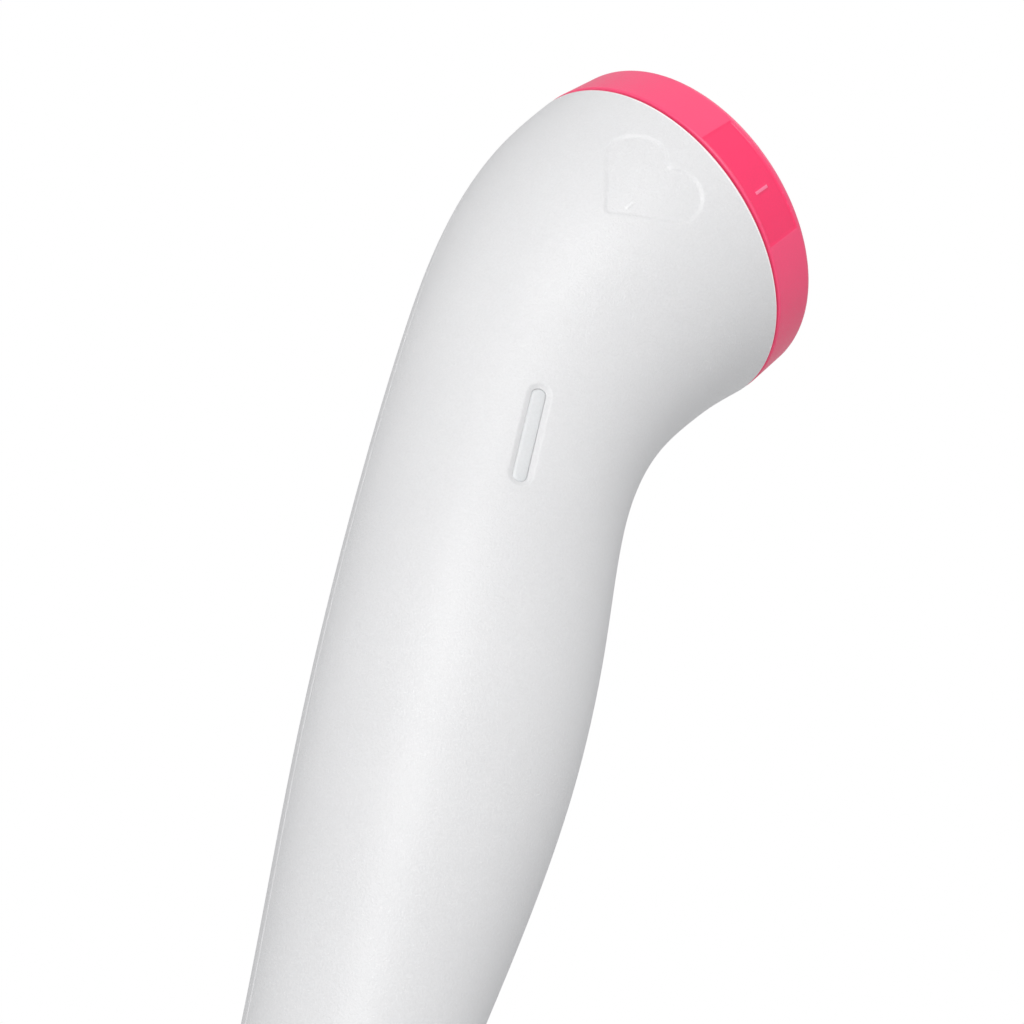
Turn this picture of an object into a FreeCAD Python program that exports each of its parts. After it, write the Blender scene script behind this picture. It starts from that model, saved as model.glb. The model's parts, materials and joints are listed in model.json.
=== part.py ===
import FreeCAD, Part
import math
import os

os.makedirs("parts", exist_ok=True)

Vec = FreeCAD.Vector
ORIGIN = Vec(0, 0, 0)
AXIS_X = Vec(1, 0, 0)
AXIS_Y = Vec(0, 1, 0)
AXIS_Z = Vec(0, 0, 1)

# Head frame: local x is device X, local y runs up the face, local z points out of the face.
HEAD_TILT = 38.3
HEAD_Y = -19.4
HEAD_Z = 150.0

# Body cross-sections: centre y, centre z, tilt, half width, half depth.
BODY_SECTIONS = [
    (0.0, 12.0, 0.0, 13.0, 13.0),
    (-0.3, 24.0, 0.0, 13.9, 13.0),
    (-1.9, 42.0, 0.0, 15.0, 15.0),
    (-3.8, 66.0, 0.0, 16.2, 17.8),
    (-4.4, 88.0, 0.0, 16.8, 18.4),
    (-4.7, 106.0, 0.0, 17.2, 18.1),
    (-7.0, 121.8, 11.0, 18.6, 19.5),
    (-10.5, 134.1, 23.6, 21.4, 22.1),
    (-15.0, 143.8, 33.2, 23.9, 24.1),
    (HEAD_Y, HEAD_Z, HEAD_TILT, 25.0, 25.0),
]
SECTION_POINTS = 16
WALL = 1.8
SEAM_HALF_GAP = 0.05
FAR = 60.0

# Head opening of the shells.
LIP_DEPTH = 1.4
LIP_RADIUS = 21.4
RIB_FRONT = -4.0
RIB_REAR = -5.4
RIB_RADIUS = 21.2

# Gear plate with its collar and hub.
PLATE_RADIUS = 22.2
PLATE_FRONT = -2.0
COLLAR_OUTER = 20.9
COLLAR_INNER = 19.8
COLLAR_TOP = 5.0
HUB_RADIUS = 6.5
HUB_REAR = -5.6
HUB_FRONT = 0.4
BUSH_RADIUS = 4.5
BUSH_FRONT = -1.2

# Guard ring.
RING_REAR = 0.35
RING_FRONT = 8.4
RING_RADIUS = 25.0
RING_FRONT_RADIUS = 24.6
RING_ROUND = 1.5
RING_BORE = 20.98
RING_MOUTH = 19.7
RING_SHELF = 5.2
LUG_INNER = 20.1
LUG_REAR = 1.0
LUG_FRONT = 2.4
LUG_HALF_ANGLE = 6.0
LUG_PLAY = 0.2
LUG_ANGLES = (30.0, 150.0, 270.0)
RING_TWIST = 20.0
GRIP_DEPTH = 0.12
GRIP_HALF_ANGLE = 20.5
GRIP_ANGLES = (186.5, -6.5)
TICK_ANGLES = (190.0, -10.0)
TICK_LENGTH = 2.6
TICK_WIDTH = 0.7
TICK_REAR = 2.4

# Spindle and its clip.
SPINDLE_RADIUS = 2.5
RUNNING_GAP = 0.05
SPINDLE_REAR = -8.8
SPINDLE_SHOULDER = 1.8
SPINDLE_TOP = 6.0
HEX_CORNER = 2.45
CLIP_REAR = 0.7
CLIP_FRONT = 1.2
CLIP_INNER = 2.0
CLIP_OUTER = 3.7

# Pad.
CARRIER_RADIUS = 18.4
CARRIER_REAR = 4.0
CARRIER_FRONT = 5.6
CARRIER_HUB = 5.0
CARRIER_HUB_REAR = 2.0
SOCKET_GAP = 0.06
SOCKET_TOP = 6.1
PAD_RADIUS = 18.7
PAD_FRONT = 7.2
PAD_RIM_WIDTH = 1.2
PAD_RIM_TOP = 7.9
NUB_ROWS = ((3.6, 6, 3.9), (7.2, 12, 3.7), (10.8, 18, 3.4), (14.4, 24, 3.1))
NUB_BASE = 0.85
NUB_TIP = 0.5

# Gear train, module in millimetres and tooth counts.
MODULE = 0.5
PRESSURE_ANGLE = 25.0
ADDENDUM = 0.8
DEDENDUM = 1.05
BACKLASH = 0.06
TEETH_OUTPUT = 32
TEETH_IDLER_SMALL = 12
TEETH_IDLER_LARGE = 30
TEETH_PINION = 12
IDLER_X = -11.0
IDLER_Y = 0.0
MOTOR_X = -1.29
MOTOR_Y = -4.0
OUTPUT_REAR = -8.5
OUTPUT_FRONT = -5.9
IDLER_REAR = -12.0
IDLER_STEP = -9.9
IDLER_FRONT = -5.7
IDLER_PIN_RADIUS = 1.0
SPACER_END = -5.5
SPACER_RADIUS = 2.0
PINION_REAR = -12.2
PINION_FRONT = -9.6

# Gear case.
CASE_REAR = -13.4
CASE_FLOOR = -12.6
CASE_WALL = 1.0
CASE_LOBES = ((0.0, 0.0, 9.2), (IDLER_X, IDLER_Y, 8.3), (MOTOR_X, MOTOR_Y, 7.4))
CASE_EARS = ((9.3, 8.3), (9.3, -8.3), (-12.5, 10.5), (-12.5, -10.5))
EAR_RADIUS = 2.6
CASE_SCREW_RADIUS = 0.9
CASE_SCREW_HEAD = 1.6
CASE_SCREW_END = -10.0

# Motor.
CAN_RADIUS = 7.75
CAN_WALL = 0.6
CAN_FACE = 1.0
CAN_REAR = -31.4
END_CAP_REAR = -33.4
END_BOSS_REAR = -34.6
MOTOR_BOSS = 2.6
SHAFT_RADIUS = 0.75
SHAFT_REAR = -34.1
MAGNET_INNER = 5.4
ROTOR_RADIUS = 5.1
MOTOR_SCREW_RADIUS = 0.6
MOTOR_SCREW_HEAD = 1.2
MOTOR_SCREW_OFFSET = 5.0
TERMINAL_OFFSET = 4.5
TERMINAL_END = -36.6

# Tail cap.
CAP_TOP = 11.7
CAP_RADIUS = 13.0
CAP_BASE_RADIUS = 12.0
CAP_FOOT_RADIUS = 13.2
CAP_FLOOR = 2.0
SPIGOT_OUTER = 10.0
SPIGOT_INNER = 8.4
SPIGOT_TOP = 18.6
NECK_RADIUS = 10.08
NECK_TOP = 19.6
CAP_LUG_RADIUS = 10.9
CAP_LUG_LOW = 14.3
CAP_LUG_HIGH = 16.0
CAP_LUG_HALF_ANGLE = 10.0
CAP_TWIST = 60.0
CAP_GROOVES = 24
CAP_SLOT_RADIUS = 11.0
SEAL_Z = 17.5
SEAL_MAJOR = 9.64
SEAL_MINOR = 0.44

# Cells and contacts.
CELL_RADIUS = 5.2
CELL_BODY = 43.5
CELL_NUB = 1.0
CELL_NUB_RADIUS = 1.9
CELL_BOTTOM = 8.0
TUBE_INNER = 5.6
TUBE_OUTER = 6.6
TUBE_LOW = 20.0
TUBE_HIGH = 99.5
PLATE_THICK = 0.5
CUP_RADIUS = 8.1
CUP_TOP = 18.0
STRIP_THICK = 0.3
STRIP_WIDTH = 4.0
SPRING_WIRE = 0.3

# Circuit board, switch and button.
BOARD_HALF_WIDTH = 8.0
BOARD_FRONT = -13.6
BOARD_BACK = -12.4
BOARD_LOW = 60.0
BOARD_HIGH = 100.0
LEAD_RADIUS = 0.45
LEAD_BEND = 3.0
LEAD_START_Y = 0.2
LEAD_END_Y = BOARD_BACK + LEAD_RADIUS
SWITCH_Z = 86.0
SWITCH_SIZE = 6.0
SWITCH_FRONT = -17.0
PLUNGER_RADIUS = 1.2
PLUNGER_FRONT = -17.9
PLUNGER_REAR = -15.8
BUTTON_RADIUS = 5.0
BUTTON_GAP = 0.2
BUTTON_SINK = 0.1
FLANGE_RADIUS = 6.2
FLANGE_FRONT = -19.0
FLANGE_REAR = -18.3
POST_RADIUS = 2.0

# Indicator window on the left side.
LENS_Y = -1.9
LENS_Z = 107.5
LENS_TILT = 2.8
LENS_LENGTH = 12.6
LENS_WIDTH = 2.0
LENS_GAP = 0.12
LENS_INNER_X = -14.6
LENS_SINK = 0.25
LED_BOARD_X = -13.6
LED_BOARD_THICK = 0.8
LED_Z = (104.5, 110.5)

# Heart outline on the left side, in head frame coordinates.
HEART_Y = 5.2
HEART_TIP = -17.45
HEART_LOBE_Z = -8.3
HEART_LOBE_OFFSET = 3.6
HEART_LOBE_RADIUS = 4.0
HEART_TIP_ROUND = 0.9
HEART_DEPTH = 0.2

# Screws that join the shells: y, z.
SHELL_SCREWS = ((9.4, 40.0), (9.5, 102.0), (-11.5, 44.0), (-15.5, 110.0), (4.5, 142.5))
SCREW_RADIUS = 1.0
SCREW_HEAD_RADIUS = 2.0
SCREW_HEAD_X = 4.0
SCREW_HEAD_HEIGHT = 1.4
SCREW_END_X = -5.5
SCREW_BOSS_RADIUS = 2.7
SCREW_RECESS_RADIUS = 2.2

TUBE_RIBS = (30.0, 54.0, 91.0)
BOARD_RIBS = (66.0, 95.0)
RIB_THICK = 1.6


def cylinder(radius, low, high, x=0.0, y=0.0):
    return Part.makeCylinder(radius, high - low, Vec(x, y, low), AXIS_Z)


def tube(inner, outer, low, high, x=0.0, y=0.0):
    return cylinder(outer, low, high, x, y).cut(cylinder(inner, low, high, x, y))


def block(x0, x1, y0, y1, z0, z1):
    return Part.makeBox(x1 - x0, y1 - y0, z1 - z0, Vec(x0, y0, z0))


def rod_x(radius, x0, x1, y, z):
    return Part.makeCylinder(radius, x1 - x0, Vec(x0, y, z), AXIS_X)


def rod_y(radius, y0, y1, x, z):
    return Part.makeCylinder(radius, y1 - y0, Vec(x, y0, z), AXIS_Y)


def to_head(shape):
    shape = shape.copy()
    shape.rotate(ORIGIN, AXIS_X, HEAD_TILT)
    shape.translate(Vec(0, HEAD_Y, HEAD_Z))
    return shape


def arc_block(inner, outer, low, high, start, end):
    wedge = Part.makeCylinder(outer, high - low, Vec(0, 0, low), AXIS_Z, end - start)
    wedge.rotate(ORIGIN, AXIS_Z, start)
    return wedge.cut(cylinder(inner, low, high))


def save(name, shape):
    shape.removeSplitter().exportStep("parts/" + name + ".step")


def section_wire(section, inset):
    y, z, tilt, half_width, half_depth = section
    points = []
    for step in range(SECTION_POINTS):
        angle = 2 * math.pi * step / SECTION_POINTS
        across = (half_width - inset) * math.cos(angle)
        deep = (half_depth - inset) * math.sin(angle)
        points.append(Vec(across, deep, 0))
    stations = [step / SECTION_POINTS for step in range(SECTION_POINTS + 1)]
    curve = Part.BSplineCurve()
    curve.interpolate(Points=points, PeriodicFlag=True, Parameters=stations)
    wire = Part.Wire([curve.toShape()])
    wire.rotate(ORIGIN, AXIS_X, tilt)
    wire.translate(Vec(0, y, z))
    return wire


def body_solid(inset):
    wires = [section_wire(section, inset) for section in BODY_SECTIONS]
    return Part.makeLoft(wires, True, False)


def heart_face():
    lobe_y = HEART_Y + HEART_LOBE_OFFSET
    reach = math.hypot(HEART_LOBE_OFFSET, HEART_LOBE_Z - HEART_TIP)
    half = math.atan2(HEART_LOBE_OFFSET, HEART_LOBE_Z - HEART_TIP) + math.asin(HEART_LOBE_RADIUS / reach)
    out_y = math.cos(half)
    out_z = -math.sin(half)
    tip_centre_z = HEART_TIP + HEART_TIP_ROUND / math.sin(half)
    notch_z = HEART_LOBE_Z + math.sqrt(HEART_LOBE_RADIUS ** 2 - HEART_LOBE_OFFSET ** 2)
    top_y = lobe_y + HEART_LOBE_RADIUS * math.sin(math.radians(30.0))
    top_z = HEART_LOBE_Z + HEART_LOBE_RADIUS * math.cos(math.radians(30.0))
    side_y = lobe_y + HEART_LOBE_RADIUS * out_y
    side_z = HEART_LOBE_Z + HEART_LOBE_RADIUS * out_z
    low_y = HEART_Y + HEART_TIP_ROUND * out_y
    low_z = tip_centre_z + HEART_TIP_ROUND * out_z
    notch = Vec(0, HEART_Y, notch_z)
    tip = Vec(0, HEART_Y, tip_centre_z - HEART_TIP_ROUND)
    edges = [
        Part.LineSegment(Vec(0, low_y, low_z), Vec(0, side_y, side_z)).toShape(),
        Part.Arc(Vec(0, side_y, side_z), Vec(0, top_y, top_z), notch).toShape(),
        Part.Arc(notch, Vec(0, 2 * HEART_Y - top_y, top_z), Vec(0, 2 * HEART_Y - side_y, side_z)).toShape(),
        Part.LineSegment(Vec(0, 2 * HEART_Y - side_y, side_z), Vec(0, 2 * HEART_Y - low_y, low_z)).toShape(),
        Part.Arc(Vec(0, 2 * HEART_Y - low_y, low_z), tip, Vec(0, low_y, low_z)).toShape(),
    ]
    return Part.Face(Part.Wire(edges))


def heart_panel(outer):
    prism = to_head(heart_face().extrude(Vec(-FAR, 0, 0)))
    moved = outer.copy()
    moved.translate(Vec(HEART_DEPTH, 0, 0))
    return prism.common(outer).cut(moved)


def pill_prism(length, width, x0, x1):
    straight = length / 2 - width / 2
    shape = block(x0, x1, -width / 2, width / 2, -straight, straight)
    shape = shape.fuse(rod_x(width / 2, x0, x1, 0, -straight))
    shape = shape.fuse(rod_x(width / 2, x0, x1, 0, straight))
    shape = shape.removeSplitter()
    shape.rotate(ORIGIN, AXIS_X, LENS_TILT)
    shape.translate(Vec(0, LENS_Y, LENS_Z))
    return shape


def head_ribs(outer):
    lip = tube(LIP_RADIUS, 30.0, -LIP_DEPTH, 0.0)
    rib = tube(RIB_RADIUS, 30.0, RIB_REAR, RIB_FRONT)
    return to_head(lip.fuse(rib)).common(outer)


def motor_cradle(inner):
    slab = block(-FAR, FAR, MOTOR_Y - 9.5, MOTOR_Y + 7.0, -27.0, -27.0 + RIB_THICK)
    slab = slab.cut(cylinder(CAN_RADIUS + RUNNING_GAP, -30.0, -20.0, MOTOR_X, MOTOR_Y))
    return to_head(slab).common(inner)


def cell_ribs(inner):
    ribs = []
    for z in TUBE_RIBS:
        rib = block(-FAR, FAR, -8.5, FAR, z - RIB_THICK / 2, z + RIB_THICK / 2)
        ribs.append(rib.cut(cylinder(TUBE_OUTER + RUNNING_GAP, z - 5, z + 5)))
    for z in BOARD_RIBS:
        for side in (-1, 1):
            near = side * (BOARD_HALF_WIDTH - 0.8)
            far = side * FAR
            rib = block(min(near, far), max(near, far), BOARD_FRONT - 1.5, BOARD_BACK + 1.5,
                        z - RIB_THICK / 2, z + RIB_THICK / 2)
            ribs.append(rib)
    shape = ribs[0].multiFuse(ribs[1:])
    shape = shape.cut(board_block())
    shape = shape.cut(block(TUBE_OUTER - 0.1, TUBE_OUTER + 0.5, -2.3, 2.3, 20.0, 99.0))
    return shape.common(inner)


def tail_neck(outer):
    return tube(NECK_RADIUS, 30.0, BODY_SECTIONS[0][1], NECK_TOP).common(outer)


def cap_slots():
    gap = 0.2
    play = 1.0
    slots = []
    for turn in (0.0, 180.0):
        start = turn - CAP_LUG_HALF_ANGLE - play
        end = turn + CAP_TWIST + CAP_LUG_HALF_ANGLE + play
        entry_start = turn + CAP_TWIST - CAP_LUG_HALF_ANGLE - play
        slots.append(arc_block(1.0, CAP_SLOT_RADIUS, CAP_LUG_LOW - gap, CAP_LUG_HIGH + gap, start, end))
        slots.append(arc_block(1.0, CAP_SLOT_RADIUS, CAP_TOP - 1.0, CAP_LUG_HIGH, entry_start, end))
    return slots[0].multiFuse(slots[1:])


def screw_bosses(outer):
    bosses = [rod_x(SCREW_BOSS_RADIUS, -FAR, FAR, y, z) for y, z in SHELL_SCREWS]
    return bosses[0].multiFuse(bosses[1:]).common(outer)


def screw_holes():
    holes = []
    for y, z in SHELL_SCREWS:
        holes.append(rod_x(SCREW_RADIUS, SCREW_END_X - 0.5, SCREW_HEAD_X, y, z))
        holes.append(rod_x(SCREW_RECESS_RADIUS, SCREW_HEAD_X, FAR, y, z))
    return holes[0].multiFuse(holes[1:])


def indicator_posts(inner):
    posts = [rod_x(1.0, -FAR, LED_BOARD_X, y, LENS_Z) for y in (-5.3, 1.3)]
    return posts[0].fuse(posts[1]).common(inner)


def button_opening():
    return rod_y(BUTTON_RADIUS + BUTTON_GAP, -FAR, FLANGE_FRONT - 0.1, 0, SWITCH_Z).fuse(
        rod_y(FLANGE_RADIUS + BUTTON_GAP, FLANGE_FRONT - 0.1, FLANGE_REAR + 1.0, 0, SWITCH_Z))


def make_shells():
    outer = body_solid(0.0)
    inner = body_solid(WALL)
    shell = outer.cut(inner)
    shell = shell.multiFuse([
        head_ribs(outer),
        motor_cradle(inner),
        cell_ribs(inner),
        tail_neck(outer),
        screw_bosses(outer),
    ])
    shell = shell.cut(screw_holes()).cut(button_opening()).cut(cap_slots())
    left = shell.common(block(-FAR, -SEAM_HALF_GAP, -FAR, FAR, 0, 200))
    left = left.fuse(indicator_posts(inner))
    window = pill_prism(LENS_LENGTH + 2 * LENS_GAP, LENS_WIDTH + 2 * LENS_GAP, -FAR, LENS_INNER_X)
    left = left.cut(window).cut(heart_panel(outer))
    right = shell.common(block(SEAM_HALF_GAP, FAR, -FAR, FAR, 0, 200))
    save("left_shell", left)
    save("right_shell", right)
    return outer


def make_gear_plate():
    plate = cylinder(PLATE_RADIUS, RIB_FRONT, PLATE_FRONT)
    plate = plate.fuse(tube(COLLAR_INNER, COLLAR_OUTER, PLATE_FRONT, COLLAR_TOP))
    plate = plate.fuse(cylinder(HUB_RADIUS, HUB_REAR, HUB_FRONT))
    plate = plate.fuse(cylinder(SPACER_RADIUS, SPACER_END, RIB_FRONT, IDLER_X, IDLER_Y))
    plate = plate.cut(cylinder(BUSH_RADIUS, HUB_REAR, HUB_FRONT))
    plate = plate.cut(cylinder(IDLER_PIN_RADIUS, SPACER_END, -3.0, IDLER_X, IDLER_Y))
    for x, y in CASE_EARS:
        plate = plate.cut(cylinder(CASE_SCREW_RADIUS, RIB_FRONT, PLATE_FRONT, x, y))
    play = 1.0
    for angle in LUG_ANGLES:
        start = angle - LUG_HALF_ANGLE - play
        end = angle + RING_TWIST + LUG_HALF_ANGLE + play
        run = arc_block(19.0, 21.5, LUG_REAR - LUG_PLAY, LUG_FRONT + LUG_PLAY, start, end)
        entry = arc_block(19.0, 21.5, LUG_FRONT, COLLAR_TOP + 1, end - 2 * (LUG_HALF_ANGLE + play), end)
        plate = plate.cut(run).cut(entry)
    save("gear_plate", to_head(plate))
    save("plate_gasket", to_head(tube(21.45, 22.2, PLATE_FRONT, -LIP_DEPTH)))


def make_spindle_parts():
    bush = tube(SPINDLE_RADIUS + RUNNING_GAP, BUSH_RADIUS, HUB_REAR, BUSH_FRONT)
    seal = tube(SPINDLE_RADIUS + RUNNING_GAP, BUSH_RADIUS, BUSH_FRONT, HUB_FRONT)
    seal = seal.cut(tube(3.0, 3.8, -0.4, HUB_FRONT))
    spindle = cylinder(SPINDLE_RADIUS, SPINDLE_REAR, SPINDLE_SHOULDER)
    spindle = spindle.fuse(hex_prism(HEX_CORNER, SPINDLE_SHOULDER, SPINDLE_TOP))
    spindle = spindle.cut(tube(CLIP_INNER, 4.0, CLIP_REAR, CLIP_FRONT))
    clip = tube(CLIP_INNER, CLIP_OUTER, CLIP_REAR, CLIP_FRONT)
    clip = clip.cut(block(0, 5, -1.4, 1.4, CLIP_REAR, CLIP_FRONT))
    save("spindle_bush", to_head(bush))
    save("spindle_seal", to_head(seal))
    save("spindle", to_head(spindle))
    save("spindle_clip", to_head(clip))


def hex_prism(corner, low, high):
    points = []
    for step in range(7):
        angle = math.radians(60.0 * step)
        points.append(Vec(corner * math.cos(angle), corner * math.sin(angle), low))
    return Part.Face(Part.makePolygon(points)).extrude(Vec(0, 0, high - low))


def make_guard_ring():
    corner = RING_ROUND * (1 - math.sqrt(0.5))
    outline = [
        Part.LineSegment(Vec(RING_BORE, 0, RING_REAR), Vec(RING_RADIUS - 0.3, 0, RING_REAR)).toShape(),
        Part.LineSegment(Vec(RING_RADIUS - 0.3, 0, RING_REAR),
                         Vec(RING_RADIUS, 0, RING_REAR + 0.3)).toShape(),
        Part.LineSegment(Vec(RING_RADIUS, 0, RING_REAR + 0.3),
                         Vec(RING_FRONT_RADIUS, 0, RING_FRONT - RING_ROUND)).toShape(),
        Part.Arc(Vec(RING_FRONT_RADIUS, 0, RING_FRONT - RING_ROUND),
                 Vec(RING_FRONT_RADIUS - corner, 0, RING_FRONT - corner),
                 Vec(RING_FRONT_RADIUS - RING_ROUND, 0, RING_FRONT)).toShape(),
        Part.LineSegment(Vec(RING_FRONT_RADIUS - RING_ROUND, 0, RING_FRONT),
                         Vec(RING_MOUTH + 1.2, 0, RING_FRONT)).toShape(),
        Part.Arc(Vec(RING_MOUTH + 1.2, 0, RING_FRONT), Vec(RING_MOUTH + 0.35, 0, RING_FRONT - 0.35),
                 Vec(RING_MOUTH, 0, RING_FRONT - 1.2)).toShape(),
        Part.LineSegment(Vec(RING_MOUTH, 0, RING_FRONT - 1.2), Vec(RING_MOUTH, 0, RING_SHELF)).toShape(),
        Part.LineSegment(Vec(RING_MOUTH, 0, RING_SHELF), Vec(RING_BORE, 0, RING_SHELF)).toShape(),
        Part.LineSegment(Vec(RING_BORE, 0, RING_SHELF), Vec(RING_BORE, 0, RING_REAR)).toShape(),
    ]
    ring = Part.Face(Part.Wire(outline)).revolve(ORIGIN, AXIS_Z, 360)
    grip_rear = RING_REAR + 0.3
    grip_front = RING_FRONT - RING_ROUND
    core = Part.makeCone(RING_RADIUS - GRIP_DEPTH, RING_FRONT_RADIUS - GRIP_DEPTH, grip_front - grip_rear,
                         Vec(0, 0, grip_rear), AXIS_Z)
    for angle in GRIP_ANGLES:
        grip = arc_block(RING_BORE, RING_RADIUS + 1, grip_rear, grip_front,
                         angle - GRIP_HALF_ANGLE, angle + GRIP_HALF_ANGLE)
        ring = ring.cut(grip.cut(core))
    for angle in TICK_ANGLES:
        tick = block(RING_RADIUS - 1.0, RING_RADIUS - 0.15, -TICK_WIDTH / 2, TICK_WIDTH / 2,
                     TICK_REAR, TICK_REAR + TICK_LENGTH)
        tick.rotate(ORIGIN, AXIS_Z, angle)
        ring = ring.fuse(tick)
    for angle in LUG_ANGLES:
        lug = arc_block(LUG_INNER, RING_BORE + 0.5, LUG_REAR, LUG_FRONT,
                        angle - LUG_HALF_ANGLE, angle + LUG_HALF_ANGLE)
        ring = ring.fuse(lug)
    save("guard_ring", to_head(ring))


def make_pad():
    carrier = cylinder(CARRIER_RADIUS, CARRIER_REAR, CARRIER_FRONT)
    carrier = carrier.fuse(cylinder(CARRIER_HUB, CARRIER_HUB_REAR, SOCKET_TOP + 0.8))
    carrier = carrier.cut(hex_prism(HEX_CORNER + SOCKET_GAP, CARRIER_HUB_REAR, SOCKET_TOP))
    pad = cylinder(PAD_RADIUS, CARRIER_FRONT, PAD_FRONT)
    pad = pad.fuse(tube(PAD_RADIUS - PAD_RIM_WIDTH, PAD_RADIUS, PAD_FRONT, PAD_RIM_TOP))
    pad = pad.cut(cylinder(CARRIER_HUB, CARRIER_FRONT, SOCKET_TOP + 0.8))
    nubs = [nub(0.0, 0.0, 4.0)]
    for row_radius, count, height in NUB_ROWS:
        for step in range(count):
            angle = 2 * math.pi * step / count
            nubs.append(nub(row_radius * math.cos(angle), row_radius * math.sin(angle), height))
    save("pad_carrier", to_head(carrier))
    save("scrub_pad", to_head(pad.multiFuse(nubs)))


def nub(x, y, height):
    base = PAD_FRONT - 0.1
    top = PAD_FRONT + height - NUB_TIP
    cone = Part.makeCone(NUB_BASE, NUB_TIP, top - base, Vec(x, y, base), AXIS_Z)
    return cone.fuse(Part.makeSphere(NUB_TIP, Vec(x, y, top)))


def gear(teeth, low, high, bore, x, y, tooth_angle):
    pitch = MODULE * teeth / 2
    base = pitch * math.cos(math.radians(PRESSURE_ANGLE))
    tip = pitch + ADDENDUM * MODULE
    root = pitch - DEDENDUM * MODULE
    half_tooth = math.pi / (2 * teeth) - BACKLASH / (2 * pitch) + involute(pitch, base)
    flank = [root, max(base, root + 0.02), pitch, (pitch + tip) / 2, tip]
    points = []
    for step in range(teeth):
        centre = math.radians(tooth_angle) + 2 * math.pi * step / teeth
        for radius in flank:
            points.append(polar(radius, centre - half_tooth + involute(radius, base), low))
        for radius in reversed(flank):
            points.append(polar(radius, centre + half_tooth - involute(radius, base), low))
    points.append(points[0])
    wheel = Part.Face(Part.makePolygon(points)).extrude(Vec(0, 0, high - low))
    wheel = wheel.cut(cylinder(bore, low - 1, high + 1))
    wheel.translate(Vec(x, y, 0))
    return wheel


def involute(radius, base):
    if radius <= base:
        return 0.0
    angle = math.acos(base / radius)
    return math.tan(angle) - angle


def polar(radius, angle, z):
    return Vec(radius * math.cos(angle), radius * math.sin(angle), z)


def make_gears():
    to_motor = math.degrees(math.atan2(MOTOR_Y - IDLER_Y, MOTOR_X - IDLER_X))
    output_tooth = 180.0 + 180.0 / TEETH_OUTPUT
    output = gear(TEETH_OUTPUT, OUTPUT_REAR, OUTPUT_FRONT, SPINDLE_RADIUS, 0, 0, output_tooth)
    for step in range(6):
        angle = math.radians(60.0 * step)
        x = 5.1 * math.cos(angle)
        y = 5.1 * math.sin(angle)
        output = output.cut(cylinder(1.2, OUTPUT_REAR, OUTPUT_FRONT, x, y))
    bore = IDLER_PIN_RADIUS + RUNNING_GAP
    idler = gear(TEETH_IDLER_LARGE, IDLER_REAR, IDLER_STEP, bore, IDLER_X, IDLER_Y, to_motor)
    idler = idler.fuse(gear(TEETH_IDLER_SMALL, IDLER_STEP, IDLER_FRONT, bore, IDLER_X, IDLER_Y, 0.0))
    pinion_tooth = to_motor + 180.0 + 180.0 / TEETH_PINION
    pinion = gear(TEETH_PINION, PINION_REAR, PINION_FRONT, SHAFT_RADIUS, MOTOR_X, MOTOR_Y, pinion_tooth)
    save("output_gear", to_head(output))
    save("idler_gear", to_head(idler))
    save("motor_pinion", to_head(pinion))
    save("idler_pin", to_head(cylinder(IDLER_PIN_RADIUS, CASE_REAR, -3.0, IDLER_X, IDLER_Y)))


def case_outline(grow, low, high):
    lobes = [cylinder(radius + grow, low, high, x, y) for x, y, radius in CASE_LOBES]
    return lobes[0].multiFuse(lobes[1:])


def motor_screw_spots():
    reach = math.hypot(MOTOR_X - IDLER_X, MOTOR_Y - IDLER_Y)
    side_x = -(MOTOR_Y - IDLER_Y) / reach * MOTOR_SCREW_OFFSET
    side_y = (MOTOR_X - IDLER_X) / reach * MOTOR_SCREW_OFFSET
    return ((MOTOR_X + side_x, MOTOR_Y + side_y), (MOTOR_X - side_x, MOTOR_Y - side_y))


def make_gear_case():
    ears = [cylinder(EAR_RADIUS, CASE_REAR, RIB_FRONT, x, y) for x, y in CASE_EARS]
    case = case_outline(CASE_WALL, CASE_REAR, RIB_FRONT).multiFuse(ears)
    case = case.cut(case_outline(0.0, CASE_FLOOR, RIB_FRONT))
    for x, y in CASE_EARS:
        case = case.cut(cylinder(CASE_SCREW_RADIUS, CASE_SCREW_END, RIB_FRONT, x, y))
    case = case.cut(cylinder(IDLER_PIN_RADIUS, CASE_REAR, CASE_FLOOR, IDLER_X, IDLER_Y))
    case = case.cut(cylinder(MOTOR_BOSS, CASE_REAR, CASE_FLOOR, MOTOR_X, MOTOR_Y))
    for x, y in motor_screw_spots():
        case = case.cut(cylinder(MOTOR_SCREW_RADIUS, CASE_REAR, CASE_FLOOR, x, y))
    save("gear_case", to_head(case))


def cross_screw(radius, head, end, seat, height, x, y):
    screw = cylinder(radius, end, seat, x, y)
    screw = screw.fuse(cylinder(head, seat, seat + height, x, y))
    bar = head * 0.6
    slot = head * 0.14
    top = seat + height
    screw = screw.cut(block(x - bar, x + bar, y - slot, y + slot, top - height / 2, top))
    return screw.cut(block(x - slot, x + slot, y - bar, y + bar, top - height / 2, top))


def make_screws():
    plate_screws = [cross_screw(CASE_SCREW_RADIUS, CASE_SCREW_HEAD, CASE_SCREW_END, PLATE_FRONT, 1.0, x, y)
                    for x, y in CASE_EARS]
    save("plate_screws", to_head(Part.makeCompound(plate_screws)))
    motor_screws = []
    for x, y in motor_screw_spots():
        motor_screws.append(cross_screw(MOTOR_SCREW_RADIUS, MOTOR_SCREW_HEAD, CASE_REAR - CAN_FACE,
                                        CASE_FLOOR, 0.7, x, y))
    save("motor_screws", to_head(Part.makeCompound(motor_screws)))
    shell_screws = []
    for y, z in SHELL_SCREWS:
        screw = cross_screw(SCREW_RADIUS, SCREW_HEAD_RADIUS, SCREW_END_X, SCREW_HEAD_X,
                            SCREW_HEAD_HEIGHT, 0, 0)
        screw.rotate(ORIGIN, AXIS_Y, 90)
        screw.translate(Vec(0, y, z))
        shell_screws.append(screw)
    save("shell_screws", Part.makeCompound(shell_screws))


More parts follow.
